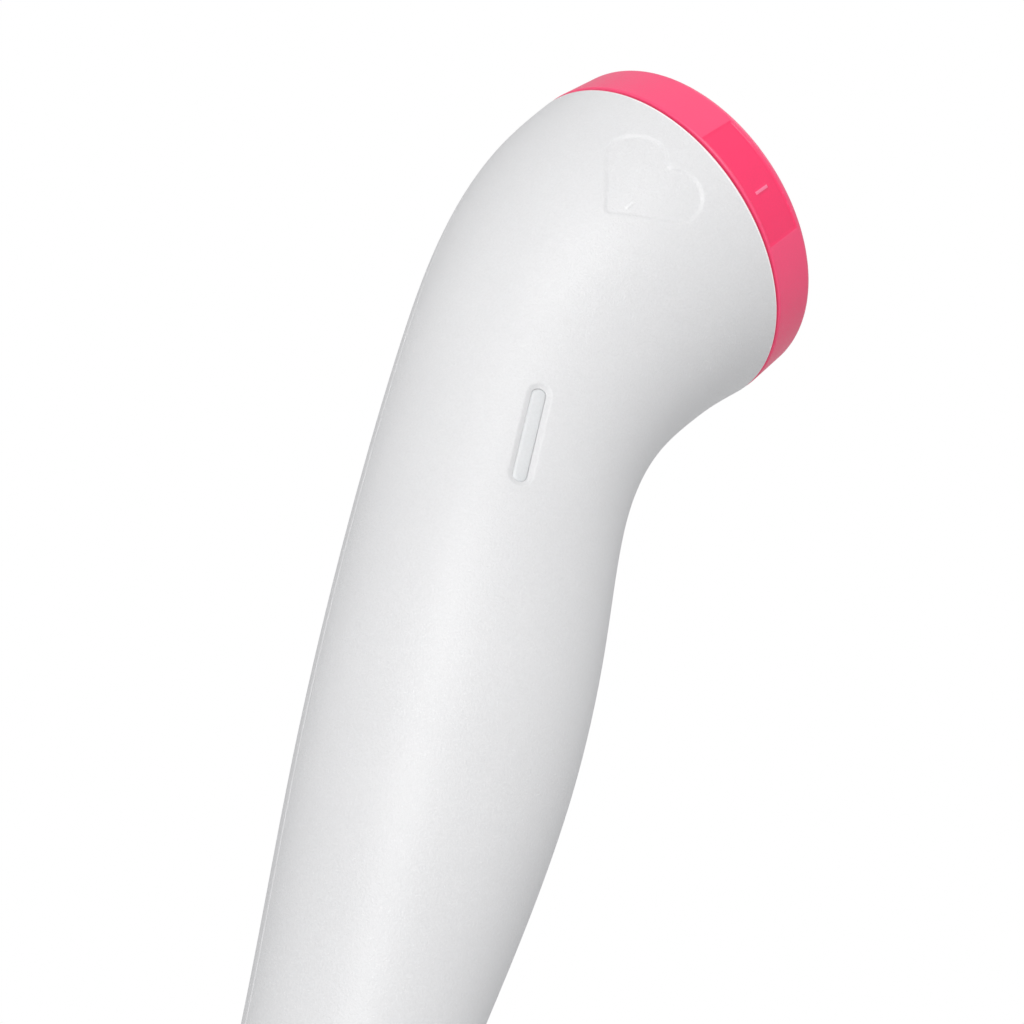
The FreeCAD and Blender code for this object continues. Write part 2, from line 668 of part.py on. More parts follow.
def at_motor(shape):
    shape.translate(Vec(MOTOR_X, MOTOR_Y, 0))
    return to_head(shape)


def make_motor():
    can = cylinder(CAN_RADIUS, CAN_REAR, CASE_REAR).cut(
        cylinder(CAN_RADIUS - CAN_WALL, CAN_REAR, CASE_REAR - CAN_FACE))
    can = can.fuse(cylinder(MOTOR_BOSS, CASE_REAR - CAN_FACE, CASE_FLOOR))
    can = can.cut(cylinder(SHAFT_RADIUS + RUNNING_GAP, CAN_REAR, 0))
    can.translate(Vec(MOTOR_X, MOTOR_Y, 0))
    for x, y in motor_screw_spots():
        can = can.cut(cylinder(MOTOR_SCREW_RADIUS, CASE_REAR - CAN_FACE, CASE_REAR, x, y))
    end_cap = cylinder(CAN_RADIUS - 0.1, END_CAP_REAR, CAN_REAR)
    end_cap = end_cap.fuse(cylinder(2.0, END_BOSS_REAR, END_CAP_REAR))
    end_cap = end_cap.cut(cylinder(SHAFT_RADIUS + RUNNING_GAP, SHAFT_REAR - 0.1, CAN_REAR))
    magnet_low = CAN_REAR + 2.5
    magnet_high = CASE_REAR - 2.5
    magnets = [arc_block(MAGNET_INNER, CAN_RADIUS - CAN_WALL, magnet_low, magnet_high, turn - 60, turn + 60)
               for turn in (0.0, 180.0)]
    rotor = tube(SHAFT_RADIUS, ROTOR_RADIUS, magnet_low + 1.0, magnet_high - 1.0)
    for turn in (0.0, 120.0, 240.0):
        slot = block(2.2, 6.0, -0.9, 0.9, magnet_low, magnet_high)
        slot.rotate(ORIGIN, AXIS_Z, turn)
        rotor = rotor.cut(slot)
    commutator = tube(SHAFT_RADIUS, 1.8, CAN_REAR + 0.4, magnet_low + 0.8)
    terminals = [block(side * TERMINAL_OFFSET - 0.2, side * TERMINAL_OFFSET + 0.2, -1.0, 1.0,
                       TERMINAL_END, END_CAP_REAR) for side in (-1, 1)]
    save("motor_can", to_head(can))
    save("motor_end_cap", at_motor(end_cap))
    save("motor_magnets", at_motor(Part.makeCompound(magnets)))
    save("motor_rotor", at_motor(rotor))
    save("motor_commutator", at_motor(commutator))
    save("motor_shaft", at_motor(cylinder(SHAFT_RADIUS, SHAFT_REAR, PINION_FRONT)))
    save("motor_terminals", at_motor(Part.makeCompound(terminals)))


def make_tail_cap():
    outline = [
        Part.LineSegment(Vec(0, 0, 0), Vec(CAP_BASE_RADIUS, 0, 0)).toShape(),
        Part.Arc(Vec(CAP_BASE_RADIUS, 0, 0), Vec(CAP_FOOT_RADIUS - 0.35, 0, 0.35),
                 Vec(CAP_FOOT_RADIUS, 0, 1.2)).toShape(),
        Part.Arc(Vec(CAP_FOOT_RADIUS, 0, 1.2), Vec(CAP_RADIUS + 0.15, 0, 6.5),
                 Vec(CAP_RADIUS, 0, CAP_TOP)).toShape(),
        Part.LineSegment(Vec(CAP_RADIUS, 0, CAP_TOP), Vec(0, 0, CAP_TOP)).toShape(),
        Part.LineSegment(Vec(0, 0, CAP_TOP), Vec(0, 0, 0)).toShape(),
    ]
    cap = Part.Face(Part.Wire(outline)).revolve(ORIGIN, AXIS_Z, 360)
    cap = cap.fuse(cylinder(SPIGOT_OUTER, CAP_TOP, SPIGOT_TOP))
    cap = cap.cut(cylinder(SPIGOT_INNER, CAP_FLOOR, SPIGOT_TOP))
    cap = cap.cut(tube(SEAL_MAJOR - SEAL_MINOR, 11.0, SEAL_Z - 0.5, SEAL_Z + 0.5))
    for turn in (0.0, 180.0):
        cap = cap.fuse(arc_block(SPIGOT_OUTER - 0.5, CAP_LUG_RADIUS, CAP_LUG_LOW, CAP_LUG_HIGH,
                                 turn - CAP_LUG_HALF_ANGLE, turn + CAP_LUG_HALF_ANGLE))
    for step in range(CAP_GROOVES):
        groove = cylinder(0.5, 3.0, 9.0, CAP_RADIUS + 0.2, 0)
        groove.rotate(ORIGIN, AXIS_Z, 360.0 / CAP_GROOVES * (step + 0.5))
        cap = cap.cut(groove)
    cap = cap.fuse(block(-CAP_RADIUS - 0.25, -CAP_RADIUS + 1.0, -0.35, 0.35, 9.6, 11.2))
    save("tail_cap", cap)
    save("cap_seal", Part.makeTorus(SEAL_MAJOR, SEAL_MINOR, Vec(0, 0, SEAL_Z), AXIS_Z))
    cup = tube(CUP_RADIUS, SPIGOT_INNER, CAP_FLOOR, CUP_TOP)
    save("cap_contact", cup.fuse(cylinder(CUP_RADIUS, CAP_FLOOR, CAP_FLOOR + 0.4)))


def make_contact_spring():
    low = CAP_FLOOR + 0.4 + SPRING_WIRE
    high = CELL_BOTTOM - SPRING_WIRE
    coil = Part.makeHelix(1.4, high - low, 4.4, -9.0)
    coil.translate(Vec(0, 0, low))
    wire = Part.Wire(coil.Edges)
    first = wire.Edges[0]
    start = first.valueAt(first.FirstParameter)
    along = first.tangentAt(first.FirstParameter)
    profile = Part.Wire([Part.makeCircle(SPRING_WIRE, start, along)])
    save("contact_spring", wire.makePipeShell([profile], True, True))


def make_cells():
    for name, low in (("cell_lower", CELL_BOTTOM), ("cell_upper", CELL_BOTTOM + CELL_BODY + CELL_NUB)):
        body = cylinder(CELL_RADIUS, low, low + CELL_BODY)
        body = body.makeFillet(0.4, [edge for edge in body.Edges if edge.Closed])
        save(name, body.fuse(cylinder(CELL_NUB_RADIUS, low + CELL_BODY, low + CELL_BODY + CELL_NUB)))


def make_cell_tube():
    top = CELL_BOTTOM + 2 * (CELL_BODY + CELL_NUB)
    holder = tube(TUBE_INNER, TUBE_OUTER, TUBE_LOW, TUBE_HIGH)
    holder = holder.cut(block(-1.5, 1.5, -10.0, 0.0, top, top + PLATE_THICK))
    save("cell_tube", holder)
    plate = cylinder(TUBE_INNER, top, top + PLATE_THICK)
    save("top_contact", plate.fuse(block(-1.5, 1.5, BOARD_BACK, 0.0, top, top + PLATE_THICK)))
    near = TUBE_OUTER
    half = STRIP_WIDTH / 2
    foot_x = CUP_RADIUS - 0.35
    strip = block(near, near + STRIP_THICK, -half, half, TUBE_LOW, 99.0)
    strip = strip.fuse(block(near, foot_x, -1.2, 1.2, TUBE_LOW, TUBE_LOW + STRIP_THICK))
    strip = strip.fuse(block(foot_x - STRIP_THICK, foot_x, -1.2, 1.2, 13.0, TUBE_LOW + STRIP_THICK))
    strip = strip.fuse(block(near, near + STRIP_THICK, BOARD_BACK, half, 97.5, 99.0))
    save("return_strip", strip)


def board_block():
    return block(-BOARD_HALF_WIDTH, BOARD_HALF_WIDTH, BOARD_FRONT, BOARD_BACK, BOARD_LOW, BOARD_HIGH)


def make_board():
    save("circuit_board", board_block())
    chips = [
        block(-2.5, 2.5, BOARD_FRONT - 1.0, BOARD_FRONT, 70.0, 75.0),
        block(-6.5, -4.5, BOARD_FRONT - 0.6, BOARD_FRONT, 68.0, 69.2),
        block(-6.5, -4.5, BOARD_FRONT - 0.6, BOARD_FRONT, 76.0, 77.2),
        block(3.5, 6.7, BOARD_FRONT - 1.1, BOARD_FRONT, 63.0, 65.5),
        block(-1.0, 1.0, BOARD_FRONT - 0.6, BOARD_FRONT, 79.0, 80.2),
        rod_y(2.5, BOARD_FRONT - 4.5, BOARD_FRONT, -4.5, 96.0),
    ]
    save("board_parts", Part.makeCompound(chips))
    half = SWITCH_SIZE / 2
    body = block(-half, half, SWITCH_FRONT, BOARD_FRONT, SWITCH_Z - half, SWITCH_Z + half)
    body = body.cut(rod_y(PLUNGER_RADIUS + RUNNING_GAP, SWITCH_FRONT, BOARD_FRONT - 1.0, 0, SWITCH_Z))
    save("switch_body", body)
    save("switch_plunger", rod_y(PLUNGER_RADIUS, PLUNGER_FRONT, PLUNGER_REAR, 0, SWITCH_Z))


def make_button(outer):
    skin = outer.copy()
    skin.translate(Vec(0, BUTTON_SINK, 0))
    cap = rod_y(BUTTON_RADIUS, -FAR, FLANGE_REAR, 0, SWITCH_Z).common(skin)
    cap = cap.fuse(rod_y(FLANGE_RADIUS, FLANGE_FRONT, FLANGE_REAR, 0, SWITCH_Z))
    cap = cap.fuse(rod_y(POST_RADIUS, FLANGE_REAR, PLUNGER_FRONT, 0, SWITCH_Z))
    save("power_button", cap)


def make_indicator(outer):
    skin = outer.copy()
    skin.translate(Vec(LENS_SINK, 0, 0))
    lens = pill_prism(LENS_LENGTH, LENS_WIDTH, -FAR, LENS_INNER_X).common(skin)
    flange = pill_prism(LENS_LENGTH + 2.0, LENS_WIDTH + 2.0, LENS_INNER_X, LENS_INNER_X + 0.5)
    save("indicator_lens", lens.fuse(flange))
    board = block(LED_BOARD_X, LED_BOARD_X + LED_BOARD_THICK, -6.5, 2.4, 100.5, 113.5)
    save("indicator_board", board)
    leds = []
    for z in LED_Z:
        leds.append(block(LENS_INNER_X + 0.5, LED_BOARD_X, LENS_Y - 0.8, LENS_Y + 0.8, z - 0.8, z + 0.8))
    save("indicator_leds", Part.makeCompound(leds))


def rounded_path(points, radius):
    edges = []
    start = points[0]
    for before, corner, after in zip(points, points[1:], points[2:]):
        arrive = (corner - before).normalize()
        leave = (after - corner).normalize()
        half_turn = arrive.getAngle(leave) / 2
        trim = radius * math.tan(half_turn)
        inward = (leave - arrive).normalize()
        arc_start = corner - arrive * trim
        arc_end = corner + leave * trim
        middle = corner + inward * (radius / math.cos(half_turn) - radius)
        edges.append(Part.LineSegment(start, arc_start).toShape())
        edges.append(Part.Arc(arc_start, middle, arc_end).toShape())
        start = arc_end
    edges.append(Part.LineSegment(start, points[-1]).toShape())
    return Part.Wire(edges)


def make_leads():
    leads = (("motor_lead_red", MOTOR_X - TERMINAL_OFFSET), ("motor_lead_black", MOTOR_X + TERMINAL_OFFSET))
    for name, x in leads:
        points = [
            Vec(x, LEAD_START_Y, 117.6),
            Vec(x, LEAD_START_Y, 111.5),
            Vec(x, LEAD_END_Y, 103.5),
            Vec(x, LEAD_END_Y, 97.0),
        ]
        profile = Part.Wire([Part.makeCircle(LEAD_RADIUS, points[0], AXIS_Z)])
        save(name, rounded_path(points, LEAD_BEND).makePipeShell([profile], True, True))


body = make_shells()
make_gear_plate()
make_spindle_parts()
make_guard_ring()
make_pad()
make_gears()
make_gear_case()
make_screws()
make_motor()
make_tail_cap()
make_contact_spring()
make_cells()
make_cell_tube()
make_board()
make_button(body)
make_indicator(body)
make_leads()
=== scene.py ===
import json
import math

import bmesh
import bpy
import numpy as np
from mathutils import Matrix, Vector
from mathutils.bvhtree import BVHTree


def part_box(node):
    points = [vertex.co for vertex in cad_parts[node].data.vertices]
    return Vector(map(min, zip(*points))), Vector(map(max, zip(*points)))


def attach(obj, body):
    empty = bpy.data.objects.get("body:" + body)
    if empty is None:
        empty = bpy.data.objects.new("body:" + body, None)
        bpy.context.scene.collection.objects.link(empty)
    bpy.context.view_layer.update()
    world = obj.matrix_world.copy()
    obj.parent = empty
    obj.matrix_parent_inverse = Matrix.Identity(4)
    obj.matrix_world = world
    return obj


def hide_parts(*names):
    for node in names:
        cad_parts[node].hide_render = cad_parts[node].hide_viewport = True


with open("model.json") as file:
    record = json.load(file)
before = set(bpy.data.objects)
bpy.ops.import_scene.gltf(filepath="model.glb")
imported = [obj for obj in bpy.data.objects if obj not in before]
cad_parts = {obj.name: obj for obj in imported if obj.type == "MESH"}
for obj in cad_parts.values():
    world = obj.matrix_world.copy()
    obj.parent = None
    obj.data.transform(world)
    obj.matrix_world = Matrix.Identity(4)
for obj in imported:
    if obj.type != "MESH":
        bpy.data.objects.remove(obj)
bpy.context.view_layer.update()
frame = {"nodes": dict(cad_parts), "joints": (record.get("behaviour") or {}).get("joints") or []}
NODES = frame["nodes"]
JOINTS = {joint["name"]: joint for joint in frame["joints"]}
MM = 0.001

# ---------------------------------------------------------------- head frame, read from the joints
HEAD_AXIS = Vector(JOINTS["ring_twist"]["axis"]).normalized()
HEAD_CENTRE = Vector(JOINTS["ring_twist"]["pos_m"]) - HEAD_AXIS * 4 * MM
HEAD_UP = HEAD_AXIS.cross(Vector((1, 0, 0))).normalized()
HEAD_MATRIX = Matrix((
    (1, HEAD_UP.x, HEAD_AXIS.x, HEAD_CENTRE.x),
    (0, HEAD_UP.y, HEAD_AXIS.y, HEAD_CENTRE.y),
    (0, HEAD_UP.z, HEAD_AXIS.z, HEAD_CENTRE.z),
    (0, 0, 0, 1),
))
HEAD_TILT = math.degrees(math.atan2(-HEAD_AXIS.y, HEAD_AXIS.z))

# Body cross-sections in millimetres and degrees, as in the CAD: centre y, centre z, tilt, half width, half depth.
BODY_SECTIONS = np.array([
    (0.0, 12.0, 0.0, 13.0, 13.0),
    (-0.3, 24.0, 0.0, 13.9, 13.0),
    (-1.9, 42.0, 0.0, 15.0, 15.0),
    (-3.8, 66.0, 0.0, 16.2, 17.8),
    (-4.4, 88.0, 0.0, 16.8, 18.4),
    (-4.7, 106.0, 0.0, 17.2, 18.1),
    (-7.0, 121.8, 11.0, 18.6, 19.5),
    (-10.5, 134.1, 23.6, 21.4, 22.1),
    (-15.0, 143.8, 33.2, 23.9, 24.1),
    (HEAD_CENTRE.y / MM, HEAD_CENTRE.z / MM, HEAD_TILT, 25.0, 25.0),
])
WALL = 1.8
LIP_DEPTH = 1.4
LIP_RADIUS = 21.4
LIP_ROUND = 0.45
LIP_HIGHLIGHT_BAND = 0.5
TAIL_ROUND = 0.25
SEAM_GAP = 0.05
SEAM_ROUND = 0.22
SEAM_TURNS = (0.4, 0.65, 0.95, 1.3, 1.8, 2.5)


# ---------------------------------------------------------------- small helpers
def spline(knots, values, at):
    """Natural cubic spline through values at knots, read at the given places."""
    count = len(knots)
    step = np.diff(knots)
    matrix = np.eye(count)
    right = np.zeros((count, values.shape[1]))
    for i in range(1, count - 1):
        matrix[i, i - 1:i + 2] = step[i - 1], 2 * (step[i - 1] + step[i]), step[i]
        right[i] = 6 * ((values[i + 1] - values[i]) / step[i] - (values[i] - values[i - 1]) / step[i - 1])
    bend = np.linalg.solve(matrix, right)
    cell = np.clip(np.searchsorted(knots, at, side="right") - 1, 0, count - 2)
    h = step[cell][:, None]
    a = (knots[cell + 1] - at)[:, None] / h
    b = (at - knots[cell])[:, None] / h
    smooth = ((a ** 3 - a) * bend[cell] + (b ** 3 - b) * bend[cell + 1]) * h * h / 6
    return a * values[cell] + b * values[cell + 1] + smooth


def smoothstep(value):
    value = np.clip(value, 0.0, 1.0)
    return value * value * (3 - 2 * value)


def new_object(name, vertices, faces, materials, smooth_angle=None):
    mesh = bpy.data.meshes.new(name)
    mesh.from_pydata([tuple(v) for v in vertices], [], faces)
    mesh.validate()
    mesh.polygons.foreach_set("use_smooth", [True] * len(mesh.polygons))
    obj = bpy.data.objects.new(name, mesh)
    bpy.context.scene.collection.objects.link(obj)
    for material in materials:
        mesh.materials.append(material)
    if smooth_angle:
        mesh.set_sharp_from_angle(angle=math.radians(smooth_angle))
    return obj


def fix_normals(obj, weld=False):
    """Turns every face outwards, after merging points that coincide where asked."""
    work = bmesh.new()
    work.from_mesh(obj.data)
    if weld:
        bmesh.ops.remove_doubles(work, verts=work.verts, dist=1e-7)
    bmesh.ops.recalc_face_normals(work, faces=work.faces)
    work.to_mesh(obj.data)
    work.free()


def strip_faces(rows, columns):
    """Faces between closed rows of points, each row with the same number of columns."""
    faces = []
    for row in range(rows - 1):
        for step in range(columns):
            nxt = (step + 1) % columns
            faces.append((row * columns + step, row * columns + nxt,
                          (row + 1) * columns + nxt, (row + 1) * columns + step))
    return faces


def bake_modifiers(obj):
    """Replaces an object's mesh with the one its modifiers make."""
    graph = bpy.context.evaluated_depsgraph_get()
    mesh = bpy.data.meshes.new_from_object(obj.evaluated_get(graph), depsgraph=graph)
    obj.modifiers.clear()
    obj.data = mesh


def combine(obj, others, operation="DIFFERENCE"):
    """Cuts the others out of an object, or adds them to it, by exact booleans."""
    for other in others:
        modifier = obj.modifiers.new("combine", "BOOLEAN")
        modifier.operation = operation
        modifier.solver = "EXACT"
        modifier.object = other
    bake_modifiers(obj)


def lathe(name, profile, segments, materials, place, shape_row=None, smooth_angle=None):
    """Revolves (radius, height) points in millimetres round local z, then puts the piece in place."""
    count = len(profile)
    vertices = []
    for step in range(segments):
        angle = 2 * math.pi * step / segments
        for radius, height in profile:
            r, z = (radius, height) if shape_row is None else shape_row(angle, radius, height)
            vertices.append(place @ Vector((r * math.cos(angle) * MM, r * math.sin(angle) * MM, z * MM)))
    faces = []
    for step in range(segments):
        nxt = (step + 1) % segments
        for i in range(count - 1):
            faces.append((step * count + i, nxt * count + i, nxt * count + i + 1, step * count + i + 1))
    obj = new_object(name, vertices, faces, materials)
    fix_normals(obj, weld=True)
    if smooth_angle:
        obj.data.set_sharp_from_angle(angle=math.radians(smooth_angle))
    return obj


def arc(centre_r, centre_z, radius, start, end, steps):
    points = []
    for i in range(steps + 1):
        angle = math.radians(start + (end - start) * i / steps)
        points.append((centre_r + radius * math.cos(angle), centre_z + radius * math.sin(angle)))
    return points


# ---------------------------------------------------------------- materials
def material(name):
    made = bpy.data.materials.new(name)
    made.use_nodes = True
    tree = made.node_tree
    return made, tree, tree.nodes["Principled BSDF"]


def texture(tree, kind, scale, **settings):
    place = tree.nodes.new("ShaderNodeTexCoord")
    node = tree.nodes.new(kind)
    tree.links.new(place.outputs["Object"], node.inputs["Vector"])
    node.inputs["Scale"].default_value = scale
    for key, value in settings.items():
        node.inputs[key].default_value = value
    return node


def ramp(tree, source, low, high, start=0.35, end=0.65):
    node = tree.nodes.new("ShaderNodeValToRGB")
    node.color_ramp.elements[0].position = start
    node.color_ramp.elements[1].position = end
    node.color_ramp.elements[0].color = low
    node.color_ramp.elements[1].color = high
    tree.links.new(source, node.inputs["Fac"])
    return node.outputs["Color"]


def bumps(tree, shader, layers):
    """Chains bump nodes: each layer is (height socket, strength, distance in metres)."""
    normal = None
    for height, strength, distance in layers:
        node = tree.nodes.new("ShaderNodeBump")
        node.inputs["Strength"].default_value = strength
        node.inputs["Distance"].default_value = distance
        tree.links.new(height, node.inputs["Height"])
        if normal is not None:
            tree.links.new(normal, node.inputs["Normal"])
        normal = node.outputs["Normal"]
    tree.links.new(normal, shader.inputs["Normal"])


def grey(value):
    return (value, value, value, 1.0)


def moulded(name, light, dark, rough, rough_spread, grain_scale, grain_depth, coat=0.0, sss=0.0, tint=None):
    """Moulded plastic: broad colour drift, fine speckle, grainy bump, uneven gloss."""
    made, tree, shader = material(name)
    drift = texture(tree, "ShaderNodeTexNoise", 28.0, Detail=3.0)
    speckle = texture(tree, "ShaderNodeTexNoise", grain_scale, Detail=2.0, Roughness=0.6)
    blend = tree.nodes.new("ShaderNodeMix")
    blend.data_type = "RGBA"
    blend.blend_type = "MULTIPLY"
    blend.inputs["Factor"].default_value = 1.0
    tree.links.new(ramp(tree, drift.outputs["Fac"], dark, light), blend.inputs["A"])
    tree.links.new(ramp(tree, speckle.outputs["Fac"], grey(0.955), grey(1.0), 0.3, 0.7), blend.inputs["B"])
    tree.links.new(blend.outputs["Result"], shader.inputs["Base Color"])
    tree.links.new(ramp(tree, speckle.outputs["Fac"], grey(rough - rough_spread), grey(rough + rough_spread)),
                   shader.inputs["Roughness"])
    bumps(tree, shader, [(speckle.outputs["Fac"], 0.6, grain_depth), (drift.outputs["Fac"], 0.15, 0.0004)])
    shader.inputs["Coat Weight"].default_value = coat
    shader.inputs["Coat Roughness"].default_value = 0.25
    if sss:
        shader.inputs["Subsurface Weight"].default_value = sss
        shader.inputs["Subsurface Scale"].default_value = 0.0015
        shader.inputs["Subsurface Radius"].default_value = tint or (1.0, 0.9, 0.85)
    return made


def metal(name, light, dark, rough, brush=(1.0, 1.0, 1.0), scale=900.0, metallic=1.0):
    """Turned or rolled metal: fine streaks along one direction and a little tarnish."""
    made, tree, shader = material(name)
    place = tree.nodes.new("ShaderNodeTexCoord")
    stretch = tree.nodes.new("ShaderNodeMapping")
    stretch.inputs["Scale"].default_value = brush
    tree.links.new(place.outputs["Object"], stretch.inputs["Vector"])
    streak = tree.nodes.new("ShaderNodeTexNoise")
    streak.inputs["Scale"].default_value = scale
    streak.inputs["Detail"].default_value = 4.0
    tree.links.new(stretch.outputs["Vector"], streak.inputs["Vector"])
    tarnish = texture(tree, "ShaderNodeTexNoise", 120.0, Detail=4.0)
    tree.links.new(ramp(tree, tarnish.outputs["Fac"], dark, light), shader.inputs["Base Color"])
    tree.links.new(ramp(tree, streak.outputs["Fac"], grey(rough - 0.08), grey(rough + 0.1)),
                   shader.inputs["Roughness"])
    bumps(tree, shader, [(streak.outputs["Fac"], 0.3, 0.00004)])
    shader.inputs["Metallic"].default_value = metallic
    return made


WHITE = moulded("white_satin", (0.765, 0.765, 0.772, 1), (0.74, 0.74, 0.748, 1), 0.44, 0.07, 3200.0, 0.00009,
                sss=0.10, tint=(1.0, 0.95, 0.92))
# Lip band material: a brighter white than the shell, a painted highlight along the rounded lip; its lower
# roughness is a real gloss.
LIP_PAINTED_HIGHLIGHT = moulded("white_glossy_lip_painted_highlight", (0.97, 0.94, 0.945, 1), (0.95, 0.92, 0.925, 1), 0.22, 0.03, 3200.0,
              0.00001)
# Mark material: a lighter white than the shell, a painted highlight on the raised dash; its lower roughness is a
# real gloss.
MARK_PAINTED_HIGHLIGHT = moulded("white_mark_painted_highlight", (0.82, 0.82, 0.826, 1), (0.80, 0.80, 0.806, 1), 0.3, 0.03, 3200.0, 0.00001)
PINK = moulded("pink_frosted", (0.98, 0.078, 0.205, 1), (0.96, 0.066, 0.185, 1), 0.42, 0.05, 3600.0, 0.00003,
               coat=0.1)
# Grip patch material: a darker, more saturated pink than the ring, painted shade where the ring takes no
# reflection.
PINK_PATCH_PAINTED_SHADE = moulded("pink_patch_painted_shade", (0.985, 0.036, 0.15, 1), (0.97, 0.030, 0.135, 1), 0.38, 0.03,
                     3600.0, 0.00001, coat=0.1)
# Tick material: a lighter pink than the ring, a painted highlight on the raised ticks.
PINK_TICK_PAINTED_HIGHLIGHT = moulded("pink_tick_painted_highlight", (1.0, 0.22, 0.37, 1), (0.98, 0.19, 0.34, 1), 0.38, 0.03, 3600.0, 0.00001)
SILICONE = moulded("silicone_pad", (0.86, 0.34, 0.42, 1), (0.83, 0.30, 0.38, 1), 0.52, 0.06, 2600.0, 0.00005,
                   sss=0.35, tint=(1.0, 0.5, 0.5))
WINDOW = moulded("window_diffuser", (0.74, 0.75, 0.755, 1), (0.71, 0.72, 0.73, 1), 0.34, 0.04,
                 3000.0, 0.00002, coat=0.2, sss=0.3)
BUTTON = moulded("button_pink", (0.90, 0.14, 0.27, 1), (0.87, 0.12, 0.24, 1), 0.36, 0.05, 3400.0, 0.00003,
                 coat=0.1)
CREAM = moulded("inner_plastic", (0.70, 0.69, 0.66, 1), (0.64, 0.63, 0.60, 1), 0.55, 0.06, 2200.0, 0.00006)
ACETAL = moulded("acetal", (0.80, 0.77, 0.66, 1), (0.76, 0.72, 0.61, 1), 0.38, 0.05, 2600.0, 0.00003,
                 coat=0.1)
BLACK = moulded("black_moulding", (0.030, 0.030, 0.032, 1), (0.020, 0.020, 0.022, 1), 0.5, 0.08,
                2600.0, 0.00006)
SEAL = moulded("seal_rubber", (0.035, 0.035, 0.037, 1), (0.022, 0.022, 0.023, 1), 0.72, 0.06, 2000.0, 0.00008)
BOARD = moulded("solder_mask", (0.020, 0.130, 0.055, 1), (0.014, 0.095, 0.040, 1), 0.32, 0.05,
                1500.0, 0.00003, coat=0.3)
LED = moulded("led_epoxy", (0.85, 0.82, 0.62, 1), (0.80, 0.77, 0.56, 1), 0.22, 0.03, 2000.0, 0.00001,
              coat=0.4)
CELL = moulded("cell_sleeve", (0.045, 0.18, 0.13, 1), (0.030, 0.14, 0.10, 1), 0.30, 0.05, 1200.0, 0.00002,
               coat=0.4)
RED = moulded("red_insulation", (0.50, 0.02, 0.018, 1), (0.42, 0.015, 0.014, 1), 0.45, 0.05, 1800.0, 0.00003)
STEEL = metal("turned_steel", (0.62, 0.63, 0.65, 1), (0.50, 0.51, 0.53, 1), 0.28, brush=(1, 1, 14))
BRASS = metal("brass", (0.80, 0.58, 0.26, 1), (0.66, 0.46, 0.20, 1), 0.30)
BRONZE = metal("sintered_bronze", (0.55, 0.36, 0.20, 1), (0.42, 0.27, 0.15, 1), 0.48, scale=2600.0)
COPPER = metal("copper", (0.80, 0.42, 0.28, 1), (0.62, 0.30, 0.19, 1), 0.32)
FERRITE = metal("ferrite", (0.055, 0.055, 0.058, 1), (0.035, 0.035, 0.037, 1), 0.55, metallic=0.3)


# ---------------------------------------------------------------- body shells
HEART_X = 5.2
HEART_LOBE = (3.6, -8.3)
HEART_LOBE_RADIUS = 4.0
HEART_TIP = -17.45
HEART_TIP_ROUND = 0.9
HEART_DEPTH = 0.24
HEART_WALL = 0.45
NOTCH_ROUND = 1.7
MARK_X = 4.1
MARK_REACH = (-14.5, -13.4)
MARK_HALF = 0.27
MARK_EDGE = 0.16
MARK_HEIGHT = 0.1


def heart_distance(p, q):
    """Signed distance to the heart outline, in head frame millimetres, negative inside."""
    p = np.abs(p - HEART_X)
    lobe_x, lobe_z = HEART_LOBE
    reach = math.hypot(lobe_x, lobe_z - HEART_TIP)
    half = math.atan2(lobe_x, lobe_z - HEART_TIP) + math.asin(HEART_LOBE_RADIUS / reach)
    along = (math.sin(half), math.cos(half))
    out = (math.cos(half), -math.sin(half))
    wx, wz = p - lobe_x, q - lobe_z
    near, far = np.hypot(wx, wz) - HEART_LOBE_RADIUS, np.hypot(p + lobe_x, wz) - HEART_LOBE_RADIUS
    round_part = near - NOTCH_ROUND / 4 * np.maximum(1 - (far - near) / NOTCH_ROUND, 0) ** 2
    tip_z = HEART_TIP + HEART_TIP_ROUND / math.sin(half)
    ex, ez = p, q - tip_z
    side_part = ex * out[0] + ez * out[1] - HEART_TIP_ROUND
    tip_part = np.hypot(ex, ez) - HEART_TIP_ROUND
    side_part = np.where(ex * along[0] + ez * along[1] < 0, tip_part, side_part)
    on_lobe = (wx * along[0] + wz * along[1] >= 0) | (wz > 0)
    return np.where(on_lobe, round_part, side_part)


BUTTON_RADIUS = 5.0
BUTTON_HOLE = 5.2
BUTTON_SINK = 0.12
BUTTON_REAR = -19.0
SCREW_HEAD_X = 4.0
SCREW_RECESS = 2.2
SCREW_POST = 2.7
POST_FLOOR = 1.2
POST_TOP = 0.6
WINDOW_CENTRE = (-1.75, 107.4)
WINDOW_TILT = math.radians(1.5)
WINDOW_HALF = 6.55
WINDOW_WIDTH = 1.0
WINDOW_BEVEL = 0.8
BEVEL_DEPTH = 0.4


def window_distance(y, z):
    """Signed distance to the outer edge of the window's bevel, in millimetres, negative inside."""
    dy, dz = y - WINDOW_CENTRE[0], z - WINDOW_CENTRE[1]
    along = -dy * math.sin(WINDOW_TILT) + dz * math.cos(WINDOW_TILT)
    across = dy * math.cos(WINDOW_TILT) + dz * math.sin(WINDOW_TILT)
    over = np.maximum(np.abs(along) - (WINDOW_HALF - WINDOW_WIDTH), 0)
    return np.hypot(across, over) - (WINDOW_WIDTH + WINDOW_BEVEL)


def spaced(*stretches):
    """Places from a list of (start, end, step), joined into one rising list."""
    places = []
    for start, end, step in stretches:
        count = max(1, int(round((end - start) / step)))
        places += [start + (end - start) * i / count for i in range(count)]
    places.append(stretches[-1][1])
    return np.array(places)


SECTION_GAPS = np.hypot(np.diff(BODY_SECTIONS[:, 0]), np.diff(BODY_SECTIONS[:, 1]))
SECTION_PLACES = np.concatenate([[0], np.cumsum(SECTION_GAPS)])
LENGTH = SECTION_PLACES[-1]


